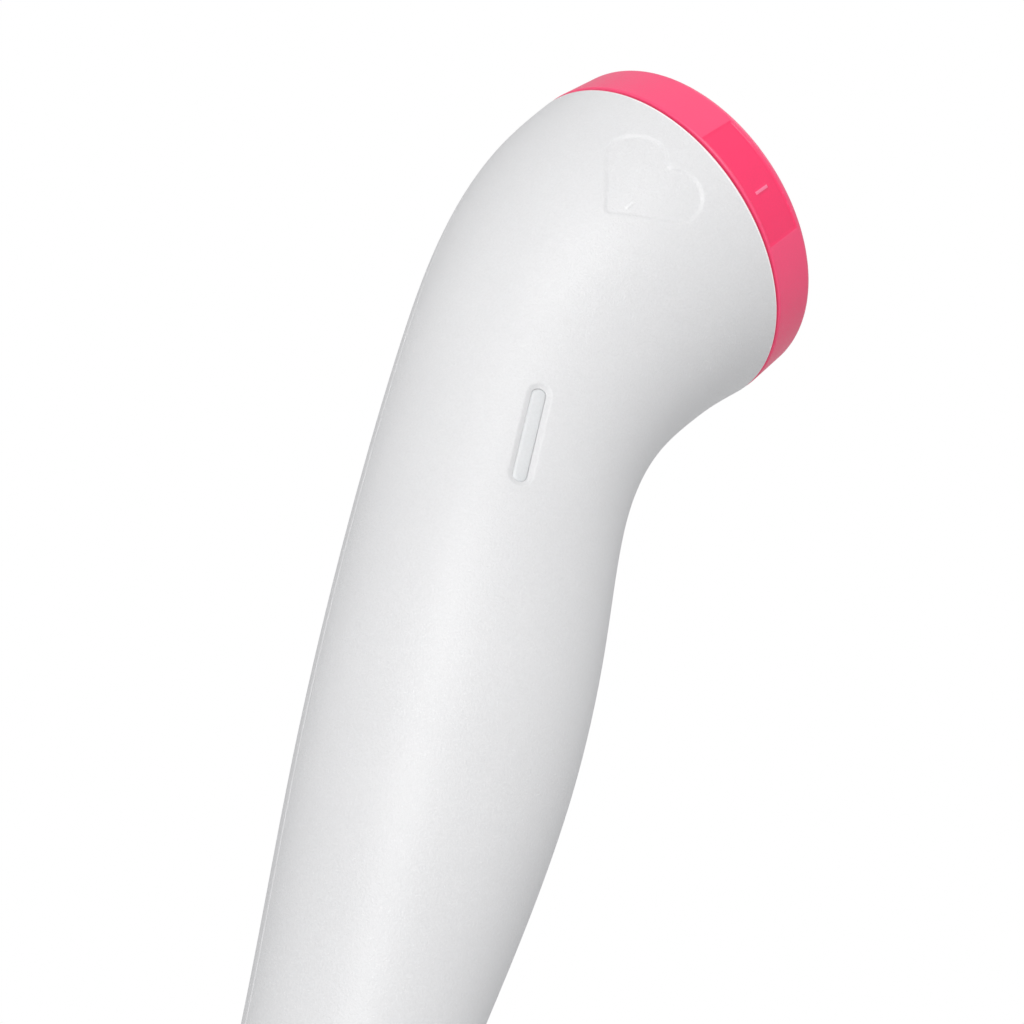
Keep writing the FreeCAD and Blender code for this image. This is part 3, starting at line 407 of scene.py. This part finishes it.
def section_rows(stations, inset=0.0):
    """Body cross-sections at these places along the body, shrunk by the inset."""
    rows = spline(SECTION_PLACES, BODY_SECTIONS, stations)
    rows[:, 3:] -= inset
    return rows


def surface(rows, angles):
    """Grid of points on the body, one row per section and one column per angle, in millimetres."""
    tilt = np.radians(rows[:, 2])[:, None]
    across = rows[:, 3][:, None] * np.cos(angles)[None, :]
    deep = rows[:, 4][:, None] * np.sin(angles)[None, :]
    y = rows[:, 0][:, None] + deep * np.cos(tilt)
    z = rows[:, 1][:, None] + deep * np.sin(tilt)
    return np.stack([across, y, z], -1)


def grid_normals(points):
    """Unit normals of a grid of points."""
    along = np.gradient(points, axis=0)
    around = np.gradient(points, axis=1)
    normal = np.cross(around, along)
    return normal / np.linalg.norm(normal, axis=-1, keepdims=True)


def to_head(points):
    """(up the face, out of the face) coordinates of points, in millimetres."""
    rel = points - np.array(HEAD_CENTRE) / MM
    return rel @ np.array(HEAD_UP), rel @ np.array(HEAD_AXIS)


def edge_round(distance, radius):
    """Depth of a rounded edge at this distance from it."""
    inside = np.clip(radius - distance, 0, radius)
    return radius - np.sqrt(np.maximum(radius * radius - inside * inside, 0))


def shell_surface(side, stations, angles):
    """Outer skin of one half of the body, with its rounded edges and, on the left, heart and window bevel."""
    outer = surface(section_rows(stations), angles)
    outward = grid_normals(outer)
    if np.sum(outward[..., 0] * outer[..., 0]) < 0:
        outward = -outward
    depth = edge_round(np.abs(outer[..., 0]) - SEAM_GAP, SEAM_ROUND)
    depth = np.maximum(depth, edge_round((LENGTH - stations)[:, None], LIP_ROUND))
    depth = np.maximum(depth, edge_round(stations[:, None], TAIL_ROUND))
    if side < 0:
        up, out = to_head(outer)
        panel = smoothstep(-heart_distance(up, out) / HEART_WALL) * HEART_DEPTH
        beyond = np.maximum(np.maximum(MARK_REACH[0] - out, out - MARK_REACH[1]), 0)
        mark = MARK_HEIGHT * smoothstep((MARK_HALF - np.hypot(up - MARK_X, beyond)) / MARK_EDGE)
        bevel = window_distance(outer[..., 1], outer[..., 2])
        depth = depth + panel - mark + BEVEL_DEPTH * smoothstep(-bevel / (WINDOW_BEVEL + 0.1))
    outer = outer - outward * depth[..., None]
    outer[..., 0] = side * np.maximum(np.abs(outer[..., 0]), SEAM_GAP)
    return outer


def make_shell(name, side, angles, stations, inner_step):
    """One half of the body as a closed wall. The inside keeps one row in inner_step."""
    outer = shell_surface(side, stations, angles)
    inner = surface(section_rows(stations, WALL), angles)
    inner[..., 0] = side * np.maximum(np.abs(inner[..., 0]), SEAM_GAP)
    lip_rows = section_rows(np.array([LENGTH, LENGTH - LIP_DEPTH]))
    lip_rows[:, 3:] = LIP_RADIUS
    lip = surface(lip_rows, angles)
    lip[..., 0] = side * np.maximum(np.abs(lip[..., 0]), SEAM_GAP)
    keep = (stations <= LENGTH - LIP_DEPTH) & (np.arange(len(stations)) % inner_step == 0)
    ring = np.concatenate([outer, lip, inner[keep][::-1]], axis=0)
    rows, columns = ring.shape[:2]
    faces = []
    for i in range(rows):
        below = ((i + 1) % rows) * columns
        here = i * columns
        for j in range(columns - 1):
            faces.append((here + j, here + j + 1, below + j + 1, below + j))
    for edge in (0, columns - 1):
        faces.append(tuple(i * columns + edge for i in range(rows)))
    obj = new_object(name, (ring.reshape(-1, 3) * MM).tolist(), faces, [WHITE, LIP_PAINTED_HIGHLIGHT, MARK_PAINTED_HIGHLIGHT])
    fix_normals(obj)
    return obj


def weld_slivers(obj):
    """Merges the near-zero edges that the booleans leave."""
    work = bmesh.new()
    work.from_mesh(obj.data)
    bmesh.ops.dissolve_degenerate(work, dist=3e-6, edges=work.edges)
    bmesh.ops.remove_doubles(work, verts=work.verts, dist=2e-6)
    work.to_mesh(obj.data)
    work.free()


def cutter(name, radius, depth, place, segments=96):
    """A plain round cutter along local z, removed after use."""
    return lathe(name, [(0, 0), (radius, 0), (radius, depth), (0, depth)], segments, [WHITE], place)


def along_axis(origin, direction):
    """Placement that turns local z to this direction."""
    turn = Vector((0, 0, 1)).rotation_difference(Vector(direction)).to_matrix().to_4x4()
    return Matrix.Translation(Vector(origin)) @ turn


def window_outline(steps, width):
    """Points (y, z) of a pill outline, this far from the window's middle line, in millimetres."""
    points = []
    straight = WINDOW_HALF - WINDOW_WIDTH
    for i in range(steps):
        angle = 2 * math.pi * (i + 0.5) / steps
        across = width * math.cos(angle)
        along = width * math.sin(angle) + (straight if math.sin(angle) > 0 else -straight)
        points.append((WINDOW_CENTRE[0] + across * math.cos(WINDOW_TILT) - along * math.sin(WINDOW_TILT),
                       WINDOW_CENTRE[1] + along * math.cos(WINDOW_TILT) + across * math.sin(WINDOW_TILT)))
    return points


def window_cutter():
    """A pill-shaped prism through the left wall."""
    steps = 96
    ring = window_outline(steps, WINDOW_WIDTH)
    vertices = [(x * MM, y * MM, z * MM) for x in (-20.0, -14.0) for y, z in ring]
    faces = strip_faces(2, steps)
    faces += [tuple(range(steps))[::-1], tuple(range(steps, 2 * steps))]
    obj = new_object("cut_window", vertices, faces, [WHITE])
    fix_normals(obj)
    return obj


def make_shells():
    """Both halves of the body, with the button hole, the window slot and the screw posts and recesses."""
    left_stations = spaced((0, 0.3, 0.06), (0.3, 86, 1.5), (86, 87.5, 0.5), (87.5, 91.5, 0.13),
                           (91.5, 100.5, 0.5), (100.5, 104.5, 0.13), (104.5, 122, 1.0), (122, 124, 0.4),
                           (124, 138.6, 0.2), (138.6, LENGTH - 0.5, 0.4), (LENGTH - 0.5, LENGTH, 0.05))
    right_stations = spaced((0, 0.3, 0.06), (0.3, LENGTH - 0.5, 1.5), (LENGTH - 0.5, LENGTH, 0.05))
    seam = np.array(SEAM_TURNS)
    left = np.concatenate([[90], 90 + seam, spaced((94, 142, 2.0), (142, 160, 0.5), (160, 179, 0.25),
                           (179, 190, 0.5), (190, 266, 2.0)), 270 - seam[::-1], [270]])
    right = np.concatenate([[-90], -90 + seam, spaced((-86, 86, 2.0)), 90 - seam[::-1], [90]])
    left_shell = make_shell("body_left", -1, np.radians(left), left_stations, 4)
    right_shell = make_shell("body_right", 1, np.radians(right), right_stations, 1)
    button_low, button_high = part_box("power_button")
    button_z = (button_low[2] + button_high[2]) / 2
    hole = cutter("cut_button", BUTTON_HOLE, 8.0, along_axis((0, button_low[1] - 0.003, button_z), (0, 1, 0)))
    slot = window_cutter()
    spots = screw_spots()
    recesses = [cutter("cut_screw", SCREW_RECESS, 26.0, along_axis(spot, (1, 0, 0)), 64) for spot in spots]
    posts = [screw_post(right_shell, spot) for spot in spots]
    combine(left_shell, [hole, slot])
    combine(right_shell, posts, "UNION")
    combine(right_shell, [hole] + recesses)
    for tool in [hole, slot] + recesses + posts:
        bpy.data.objects.remove(tool)
    for shell in (left_shell, right_shell):
        weld_slivers(shell)
        shell.data.set_sharp_from_angle(angle=math.radians(32))
        for face in shell.data.polygons:
            up, out = to_head(np.array(face.center) / MM)
            # Faces on the raised dash get the painted highlight white.
            on_mark_highlight = abs(up - MARK_X) < MARK_HALF and MARK_REACH[0] - 0.2 < out < MARK_REACH[1] + 0.2
            # Faces along the lip get the painted highlight white.
            if out > -LIP_HIGHLIGHT_BAND:
                face.material_index = 1
            elif on_mark_highlight and face.center.x < -0.018:
                face.material_index = 2
            else:
                face.material_index = 0
        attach(shell, "handle")
    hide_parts("left_shell")
    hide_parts("right_shell")


def screw_post(shell, spot):
    """A solid round post from under a screw head to the middle of the shell's wall."""
    mesh = shell.data
    tree = BVHTree.FromPolygons([v.co for v in mesh.vertices], [p.vertices for p in mesh.polygons])
    steps = 64
    reach = SCREW_POST * MM
    turns = [2 * math.pi * i / steps for i in range(steps)]
    offsets = [(reach * math.cos(turn), reach * math.sin(turn)) for turn in turns] + [(0.0, 0.0)]
    foot, top = [], []
    for dy, dz in offsets:
        y, z = spot[1] + dy, spot[2] + dz
        skin = tree.ray_cast(Vector((0.05, y, z)), Vector((-1, 0, 0)))[0]
        foot.append((spot[0] - POST_FLOOR * MM, y, z))
        top.append((skin.x - POST_TOP * WALL * MM, y, z))
    last = 2 * steps + 1
    faces = []
    for i in range(steps):
        nxt = (i + 1) % steps
        faces.append((i, nxt, steps + 1 + nxt, steps + 1 + i))
        faces.append((steps, nxt, i))
        faces.append((last, steps + 1 + i, steps + 1 + nxt))
    obj = new_object("post", foot + top, faces, [WHITE])
    fix_normals(obj)
    return obj


def screw_spots():
    """Centres of the five shell screws' head seats, read from the loose parts of their CAD node."""
    mesh = NODES["shell_screws"].data
    work = bmesh.new()
    work.from_mesh(mesh)
    bmesh.ops.remove_doubles(work, verts=work.verts, dist=1e-6)
    left = set(work.verts)
    spots = []
    while left:
        group, queue = set(), [left.pop()]
        while queue:
            vert = queue.pop()
            group.add(vert)
            for edge in vert.link_edges:
                other = edge.other_vert(vert)
                if other in left:
                    left.discard(other)
                    queue.append(other)
        ys = [v.co.y for v in group]
        zs = [v.co.z for v in group]
        spots.append((SCREW_HEAD_X * MM, (min(ys) + max(ys)) / 2, (min(zs) + max(zs)) / 2))
    work.free()
    return sorted(spots, key=lambda spot: spot[2])


# ---------------------------------------------------------------- guard ring
GRIP_ANGLES = (186.5, -6.5)
GRIP_HALF = 20.5
GRIP_DEPTH = 0.12
TICK_ANGLES = (190.0, -10.0)
TICK_HEIGHT = 0.2
TICK_MIDDLE = 3.7
LUG_TURNS = (30.0, 150.0, 270.0)


def turn_between(angle, centre):
    """Degrees from centre (degrees) to angle (radians), from -180 to 180."""
    return (math.degrees(angle) - centre + 180) % 360 - 180


def ring_row(angle, radius, height):
    """Sinks the grip patches into the side of the ring and raises their ticks."""
    if radius < 24.3 or not 0.7 < height < 7.6:
        return radius, height
    ends = float(smoothstep(np.array((height - 0.66) / 0.2)) * smoothstep(np.array((6.9 - height) / 0.2)))
    for grip, tick in zip(GRIP_ANGLES, TICK_ANGLES):
        away = abs(turn_between(angle, grip)) - GRIP_HALF
        sink = GRIP_DEPTH * ends * float(smoothstep(np.array(-away / 0.7)))
        across = abs(turn_between(angle, tick)) * math.radians(1) * 24.8
        length = abs(height - TICK_MIDDLE) - 1.3
        inside = smoothstep(np.array((0.3 - across) / 0.14)) * smoothstep(np.array(-length / 0.2))
        rise = TICK_HEIGHT * float(inside)
        radius += rise - sink
    return radius, height


def make_ring():
    """The guard ring: (radius, height) profile in the head frame, with patches, ticks and lugs."""
    heights = spaced((0.65, 1.2, 0.11), (1.2, 1.6, 0.1), (1.6, 2.3, 0.23), (2.3, 2.8, 0.1), (2.8, 4.6, 0.3),
                     (4.6, 5.2, 0.1), (5.2, 6.4, 0.3), (6.4, 6.9, 0.1))
    outside = [(25.0 - (z - 0.65) * 0.4 / 6.25, z) for z in heights]
    profile = [(20.98, 0.35), (22.5, 0.35), (24.6, 0.35)] + arc(24.7, 0.65, 0.3, -90, 0, 4)[1:-1] + outside
    profile += arc(23.1, 6.9, 1.5, 0, 90, 12)[1:]
    profile += [(22.0, 8.4), (21.2, 8.4)] + arc(20.9, 7.2, 1.2, 90, 180, 8)[1:]
    profile += [(19.7, 6.2), (19.7, 5.2), (20.98, 5.2), (20.98, 2.8), (20.98, 0.35)]
    pinks = [PINK, PINK_PATCH_PAINTED_SHADE, PINK_TICK_PAINTED_HIGHLIGHT]
    ring = lathe("guard_ring_body", profile, 720, pinks, HEAD_MATRIX, ring_row, smooth_angle=40)
    back = HEAD_MATRIX.inverted()
    for face in ring.data.polygons:
        local = back @ face.center
        radius = math.hypot(local.x, local.y) / MM
        angle = math.atan2(local.y, local.x)
        height = local.z / MM
        # Faces on the grip patches get the painted shade pink.
        on_grip = min(abs(turn_between(angle, grip)) for grip in GRIP_ANGLES) < GRIP_HALF
        if on_grip and radius > 24.2 and 0.7 < height < 6.85:
            # Faces on the ticks get the painted highlight pink.
            from_tick = min(abs(turn_between(angle, tick)) for tick in TICK_ANGLES)
            face.material_index = 2 if from_tick < 0.7 and 2.4 < height < 5.0 else 1
    join_into(ring, [ring_lug(turn) for turn in LUG_TURNS])
    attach(ring, "guard")
    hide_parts("guard_ring")


def ring_lug(turn):
    """A bayonet lug inside the ring, with softened corners."""
    vertices, faces = [], []
    steps = 8
    for i in range(steps + 1):
        angle = math.radians(turn - 6 + 12 * i / steps)
        inner = 20.98 - 0.88 * (1.0 if 0 < i < steps else 0.55)
        for radius, height in ((21.2, 1.0), (inner, 1.1), (inner, 2.3), (21.2, 2.4)):
            local = Vector((radius * math.cos(angle), radius * math.sin(angle), height)) * MM
            vertices.append(HEAD_MATRIX @ local)
    for i in range(steps):
        for k in range(4):
            faces.append((i * 4 + k, i * 4 + (k + 1) % 4, (i + 1) * 4 + (k + 1) % 4, (i + 1) * 4 + k))
    faces += [(3, 2, 1, 0), tuple(steps * 4 + k for k in range(4))]
    return new_object("lug", vertices, faces, [PINK])


def join_into(obj, others):
    """Adds the other objects' meshes to an object and removes them."""
    work = bmesh.new()
    work.from_mesh(obj.data)
    for other in others:
        work.from_mesh(other.data)
        bpy.data.objects.remove(other)
    work.to_mesh(obj.data)
    work.free()


# ---------------------------------------------------------------- scrub pad
PAD_FACE = 7.2
# Rings of nubs: radius, how many, height.
NUB_ROWS = ((0.0, 1, 4.0), (3.6, 6, 3.9), (7.2, 12, 3.7), (10.8, 18, 3.4), (14.4, 24, 3.1))


def make_pad():
    """The silicone pad, its rim and its rows of nubs."""
    profile = [(0.0, 6.95), (5.0, 6.95), (5.0, 5.6), (18.5, 5.6)] + arc(18.4, 5.9, 0.3, -90, 0, 4)[1:]
    profile += [(18.7, 7.4)] + arc(18.3, 7.5, 0.4, 0, 90, 5)[1:] + arc(17.9, 7.6, 0.3, 90, 180, 4)
    profile += arc(17.1, 7.7, 0.5, 0, -90, 5)[1:] + [(r, PAD_FACE) for r in (16.4, 14.0, 9.0, 4.5, 0.0)]
    pad = lathe("scrub_pad_body", profile, 128, [SILICONE], HEAD_MATRIX, smooth_angle=50)
    nubs = []
    for radius, count, height in NUB_ROWS:
        for step in range(count):
            angle = 2 * math.pi * step / count
            offset = Vector((radius * math.cos(angle) * MM, radius * math.sin(angle) * MM, 0))
            spot = HEAD_MATRIX @ Matrix.Translation(offset)
            top = PAD_FACE + height
            shape = [(0.0, 7.1), (1.35, 7.16), (1.1, 7.24), (0.93, 7.42), (0.86, 7.8)]
            shape += [(0.74, top - 1.4), (0.62, top - 0.75)]
            shape += arc(0.0, top - 0.6, 0.6, 0, 90, 5)[1:]
            nubs.append(lathe("nub", shape, 18, [SILICONE], spot))
    join_into(pad, nubs)
    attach(pad, "pad")
    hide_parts("scrub_pad")


# ---------------------------------------------------------------- tail cap
CAP_GROOVE_STEP = 15.0
CAP_GROOVE_DEPTH = 0.38


def cap_row(angle, radius, height):
    """Sinks the grip grooves into the side of the cap."""
    if radius < 12.6 or not 2.6 < height < 9.4:
        return radius, height
    phase = (math.degrees(angle) / CAP_GROOVE_STEP) % 1.0
    near = abs(phase - 0.5) * CAP_GROOVE_STEP
    ends = float(smoothstep(np.array((height - 2.6) / 0.6)) * smoothstep(np.array((9.4 - height) / 0.6)))
    sink = CAP_GROOVE_DEPTH * ends * float(smoothstep(np.array((2.3 - near) / 2.1)))
    return radius - sink, height


def make_cap():
    """The twist-off tail cap, its foot, its inner skirt and its lock line."""
    profile = [(0.0, 0.45), (6.0, 0.45), (9.6, 0.42), (10.2, 0.1), (10.7, 0.0), (11.6, 0.0)]
    profile += arc(12.0, 1.2, 1.2, -90, 0, 7)
    profile += [(13.2 - 0.24 * math.sin(math.pi / 2 * (z - 1.2) / 10.1), z) for z in spaced((1.6, 11.3, 0.3))]
    profile += arc(12.65, 11.35, 0.35, 10, 90, 5)
    profile += [(11.4, 11.7), (10.0, 11.7), (10.0, 17.0), (9.3, 17.05), (9.3, 18.0)]
    profile += [(10.0, 18.05), (10.0, 18.3), (9.7, 18.6), (8.7, 18.6), (8.4, 18.3), (8.4, 2.0), (0.0, 2.0)]
    cap = lathe("tail_cap_body", profile, 480, [WHITE], Matrix.Identity(4), cap_row, smooth_angle=40)
    join_into(cap, [cap_mark()])
    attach(cap, "cap")
    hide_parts("tail_cap")


def cap_mark():
    """A small raised lock line on the left side of the cap."""
    vertices, faces = [], []
    for z, half, out in ((9.6, 0.2, 0.0), (9.75, 0.32, 0.22), (11.05, 0.32, 0.22), (11.2, 0.2, 0.0)):
        for x, y in ((12.6, -half), (13.02 + out, -half * 0.7), (13.02 + out, half * 0.7), (12.6, half)):
            vertices.append((-x * MM, y * MM, z * MM))
    for i in range(3):
        for k in range(4):
            faces.append((i * 4 + k, i * 4 + (k + 1) % 4, (i + 1) * 4 + (k + 1) % 4, (i + 1) * 4 + k))
    faces += [(3, 2, 1, 0), (12, 13, 14, 15)]
    return new_object("mark", vertices, faces, [WHITE])


# ---------------------------------------------------------------- window insert and button
def make_window():
    """The window insert: rings of (reach from the middle line, depth below the skin) in millimetres."""
    rings = ((0.0, 0.40), (0.35, 0.40), (0.55, 0.405), (0.70, 0.42), (0.84, 0.45), (0.93, 0.49), (0.98, 0.54),
             (0.995, 0.62), (0.995, 2.2))
    steps = 40
    vertices = []
    for width, sink in rings:
        for y, z in window_outline(steps, width):
            vertices.append(((skin_at(y, z) + sink) * MM, y * MM, z * MM))
    faces = strip_faces(len(rings), steps)
    faces.append(tuple(range(steps))[::-1])
    faces.append(tuple((len(rings) - 1) * steps + i for i in range(steps)))
    obj = new_object("window_insert", vertices, faces, [WINDOW], smooth_angle=50)
    fix_normals(obj, weld=True)
    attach(obj, "handle")
    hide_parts("indicator_lens")


def skin_at(y, z):
    """x of the body's left side in millimetres at this y and z, on the untilted neck."""
    rows = section_rows(np.array([station_at(z)]))
    centre, half_width, half_depth = rows[0, 0], rows[0, 3], rows[0, 4]
    return -half_width * math.sqrt(max(0.0, 1 - ((y - centre) / half_depth) ** 2))


def station_at(z):
    """Place along the body where its middle line reaches this height."""
    low, high = 0.0, LENGTH
    for _ in range(40):
        middle = (low + high) / 2
        if section_rows(np.array([middle]))[0, 1] < z:
            low = middle
        else:
            high = middle
    return (low + high) / 2


def make_button():
    """The round button, following the front of the handle, slightly dished with a fine ring."""
    low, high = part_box("power_button")
    centre_z = (low[2] + high[2]) / 2 / MM
    rows = section_rows(np.array([station_at(centre_z)]))
    centre_y, half_width, half_depth = rows[0, 0], rows[0, 3], rows[0, 4]
    rings = [0.0, 0.6, 1.2, 1.8, 2.0, 2.15, 2.3, 2.45, 2.6, 2.9, 3.3, 3.8, 4.2, 4.5, 4.7, 4.85, 4.95]
    rings += [BUTTON_RADIUS, BUTTON_RADIUS]
    segments = 96
    vertices = []
    for index, radius in enumerate(rings):
        for step in range(segments):
            angle = 2 * math.pi * step / segments
            x = radius * math.cos(angle)
            z = radius * math.sin(angle)
            face = centre_y - half_depth * math.sqrt(1 - (x / half_width) ** 2)
            dish = 0.25 * math.exp(-(radius / 3.2) ** 2)
            groove = 0.16 * math.exp(-((radius - 2.3) / 0.16) ** 2)
            edge = float(edge_round(np.array(BUTTON_RADIUS - radius), 0.4))
            y = face + BUTTON_SINK + dish + groove + edge
            if index == len(rings) - 1:
                y = BUTTON_REAR
            vertices.append((x * MM, y * MM, (centre_z + z) * MM))
    faces = strip_faces(len(rings), segments)
    faces.append(tuple((len(rings) - 1) * segments + step for step in range(segments)))
    obj = new_object("button_cap", vertices, faces, [BUTTON], smooth_angle=60)
    fix_normals(obj, weld=True)
    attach(obj, "button")
    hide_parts("power_button")


# ---------------------------------------------------------------- carried-over CAD nodes
NODE_MATERIALS = {
    "pad_carrier": WHITE, "gear_plate": CREAM, "gear_case": CREAM, "cell_tube": CREAM,
    "output_gear": ACETAL, "idler_gear": ACETAL, "motor_pinion": BRASS, "spindle_bush": BRONZE,
    "plate_gasket": SEAL, "spindle_seal": SEAL, "cap_seal": SEAL,
    "spindle": STEEL, "spindle_clip": STEEL, "idler_pin": STEEL, "plate_screws": STEEL, "shell_screws": STEEL,
    "motor_screws": STEEL, "motor_can": STEEL, "motor_rotor": STEEL, "motor_shaft": STEEL,
    "top_contact": STEEL, "return_strip": STEEL, "cap_contact": STEEL, "contact_spring": STEEL,
    "motor_end_cap": BLACK, "board_parts": BLACK, "switch_body": BLACK, "motor_lead_black": BLACK,
    "motor_magnets": FERRITE, "motor_commutator": COPPER, "motor_terminals": COPPER,
    "cell_lower": CELL, "cell_upper": CELL, "circuit_board": BOARD, "indicator_board": BOARD,
    "indicator_leds": LED, "motor_lead_red": RED, "switch_plunger": BUTTON,
}


def dress_nodes():
    """Gives each carried-over CAD node its procedural material."""
    for name, chosen in NODE_MATERIALS.items():
        mesh = NODES[name].data
        mesh.materials.clear()
        mesh.materials.append(chosen)


# ---------------------------------------------------------------- stage, light and camera
def make_floor():
    made, tree, shader = material("pale_floor")
    drift = texture(tree, "ShaderNodeTexNoise", 6.0, Detail=2.0)
    tree.links.new(ramp(tree, drift.outputs["Fac"], grey(0.84), grey(0.88)), shader.inputs["Base Color"])
    shader.inputs["Roughness"].default_value = 0.8
    half = 3.0
    floor = new_object("floor", [(-half, -half, 0), (half, -half, 0), (half, half, 0), (-half, half, 0)],
                       [(0, 1, 2, 3)], [made])


def area_light(name, place, target, size, power, colour=(1, 1, 1)):
    data = bpy.data.lights.new(name, "AREA")
    data.shape = "DISK"
    data.size = size
    data.energy = power
    data.color = colour
    obj = bpy.data.objects.new(name, data)
    obj.location = place
    obj.rotation_euler = (Vector(target) - Vector(place)).to_track_quat("-Z", "Y").to_euler()
    bpy.context.scene.collection.objects.link(obj)


def make_world():
    """Plain white behind the object, and a softer grey for the light it gives."""
    world = bpy.data.worlds.new("studio")
    world.use_nodes = True
    bpy.context.scene.world = world
    tree = world.node_tree
    behind = tree.nodes["Background"]
    behind.inputs["Strength"].default_value = 1.0
    behind.inputs["Color"].default_value = (1.0, 1.0, 1.0, 1)
    glow = tree.nodes.new("ShaderNodeBackground")
    glow.inputs["Color"].default_value = (0.985, 0.99, 1.0, 1)
    glow.inputs["Strength"].default_value = 0.60
    path = tree.nodes.new("ShaderNodeLightPath")
    pick = tree.nodes.new("ShaderNodeMixShader")
    tree.links.new(path.outputs["Is Camera Ray"], pick.inputs["Fac"])
    tree.links.new(glow.outputs["Background"], pick.inputs[1])
    tree.links.new(behind.outputs["Background"], pick.inputs[2])
    tree.links.new(pick.outputs["Shader"], tree.nodes["World Output"].inputs["Surface"])


def make_stage():
    make_floor()
    make_world()
    bpy.context.scene.view_settings.view_transform = "Standard"
    middle = (0, -0.01, 0.10)
    area_light("key", (-0.54, 0.27, 0.16), middle, 0.30, 1.78, (1.0, 0.995, 0.99))
    area_light("top", (0.0, -0.30, 0.75), middle, 0.40, 0.35)


CAMERA_PLACE = (-0.2183, 0.0711, 0.0080)
CAMERA_LOOK = (0.870, -0.313, 0.382)
CAMERA_ROLL = 11.04
CAMERA_LENS = 65.7


def make_camera():
    look = Vector(CAMERA_LOOK).normalized()
    roll = math.radians(CAMERA_ROLL)
    right = look.cross(Vector((0, 0, 1))).normalized()
    up = right.cross(look)
    rolled_right = right * math.cos(roll) + up * math.sin(roll)
    rolled_up = -right * math.sin(roll) + up * math.cos(roll)
    data = bpy.data.cameras.new("camera")
    data.lens = CAMERA_LENS
    data.sensor_width = 36.0
    data.clip_start = 0.01
    camera = bpy.data.objects.new("camera", data)
    place = Matrix((rolled_right, rolled_up, -look)).transposed().to_4x4()
    place.translation = Vector(CAMERA_PLACE)
    camera.matrix_world = place
    bpy.context.scene.collection.objects.link(camera)
    bpy.context.scene.camera = camera


make_shells()
make_ring()
make_pad()
make_cap()
make_window()
make_button()
dress_nodes()
make_stage()
make_camera()
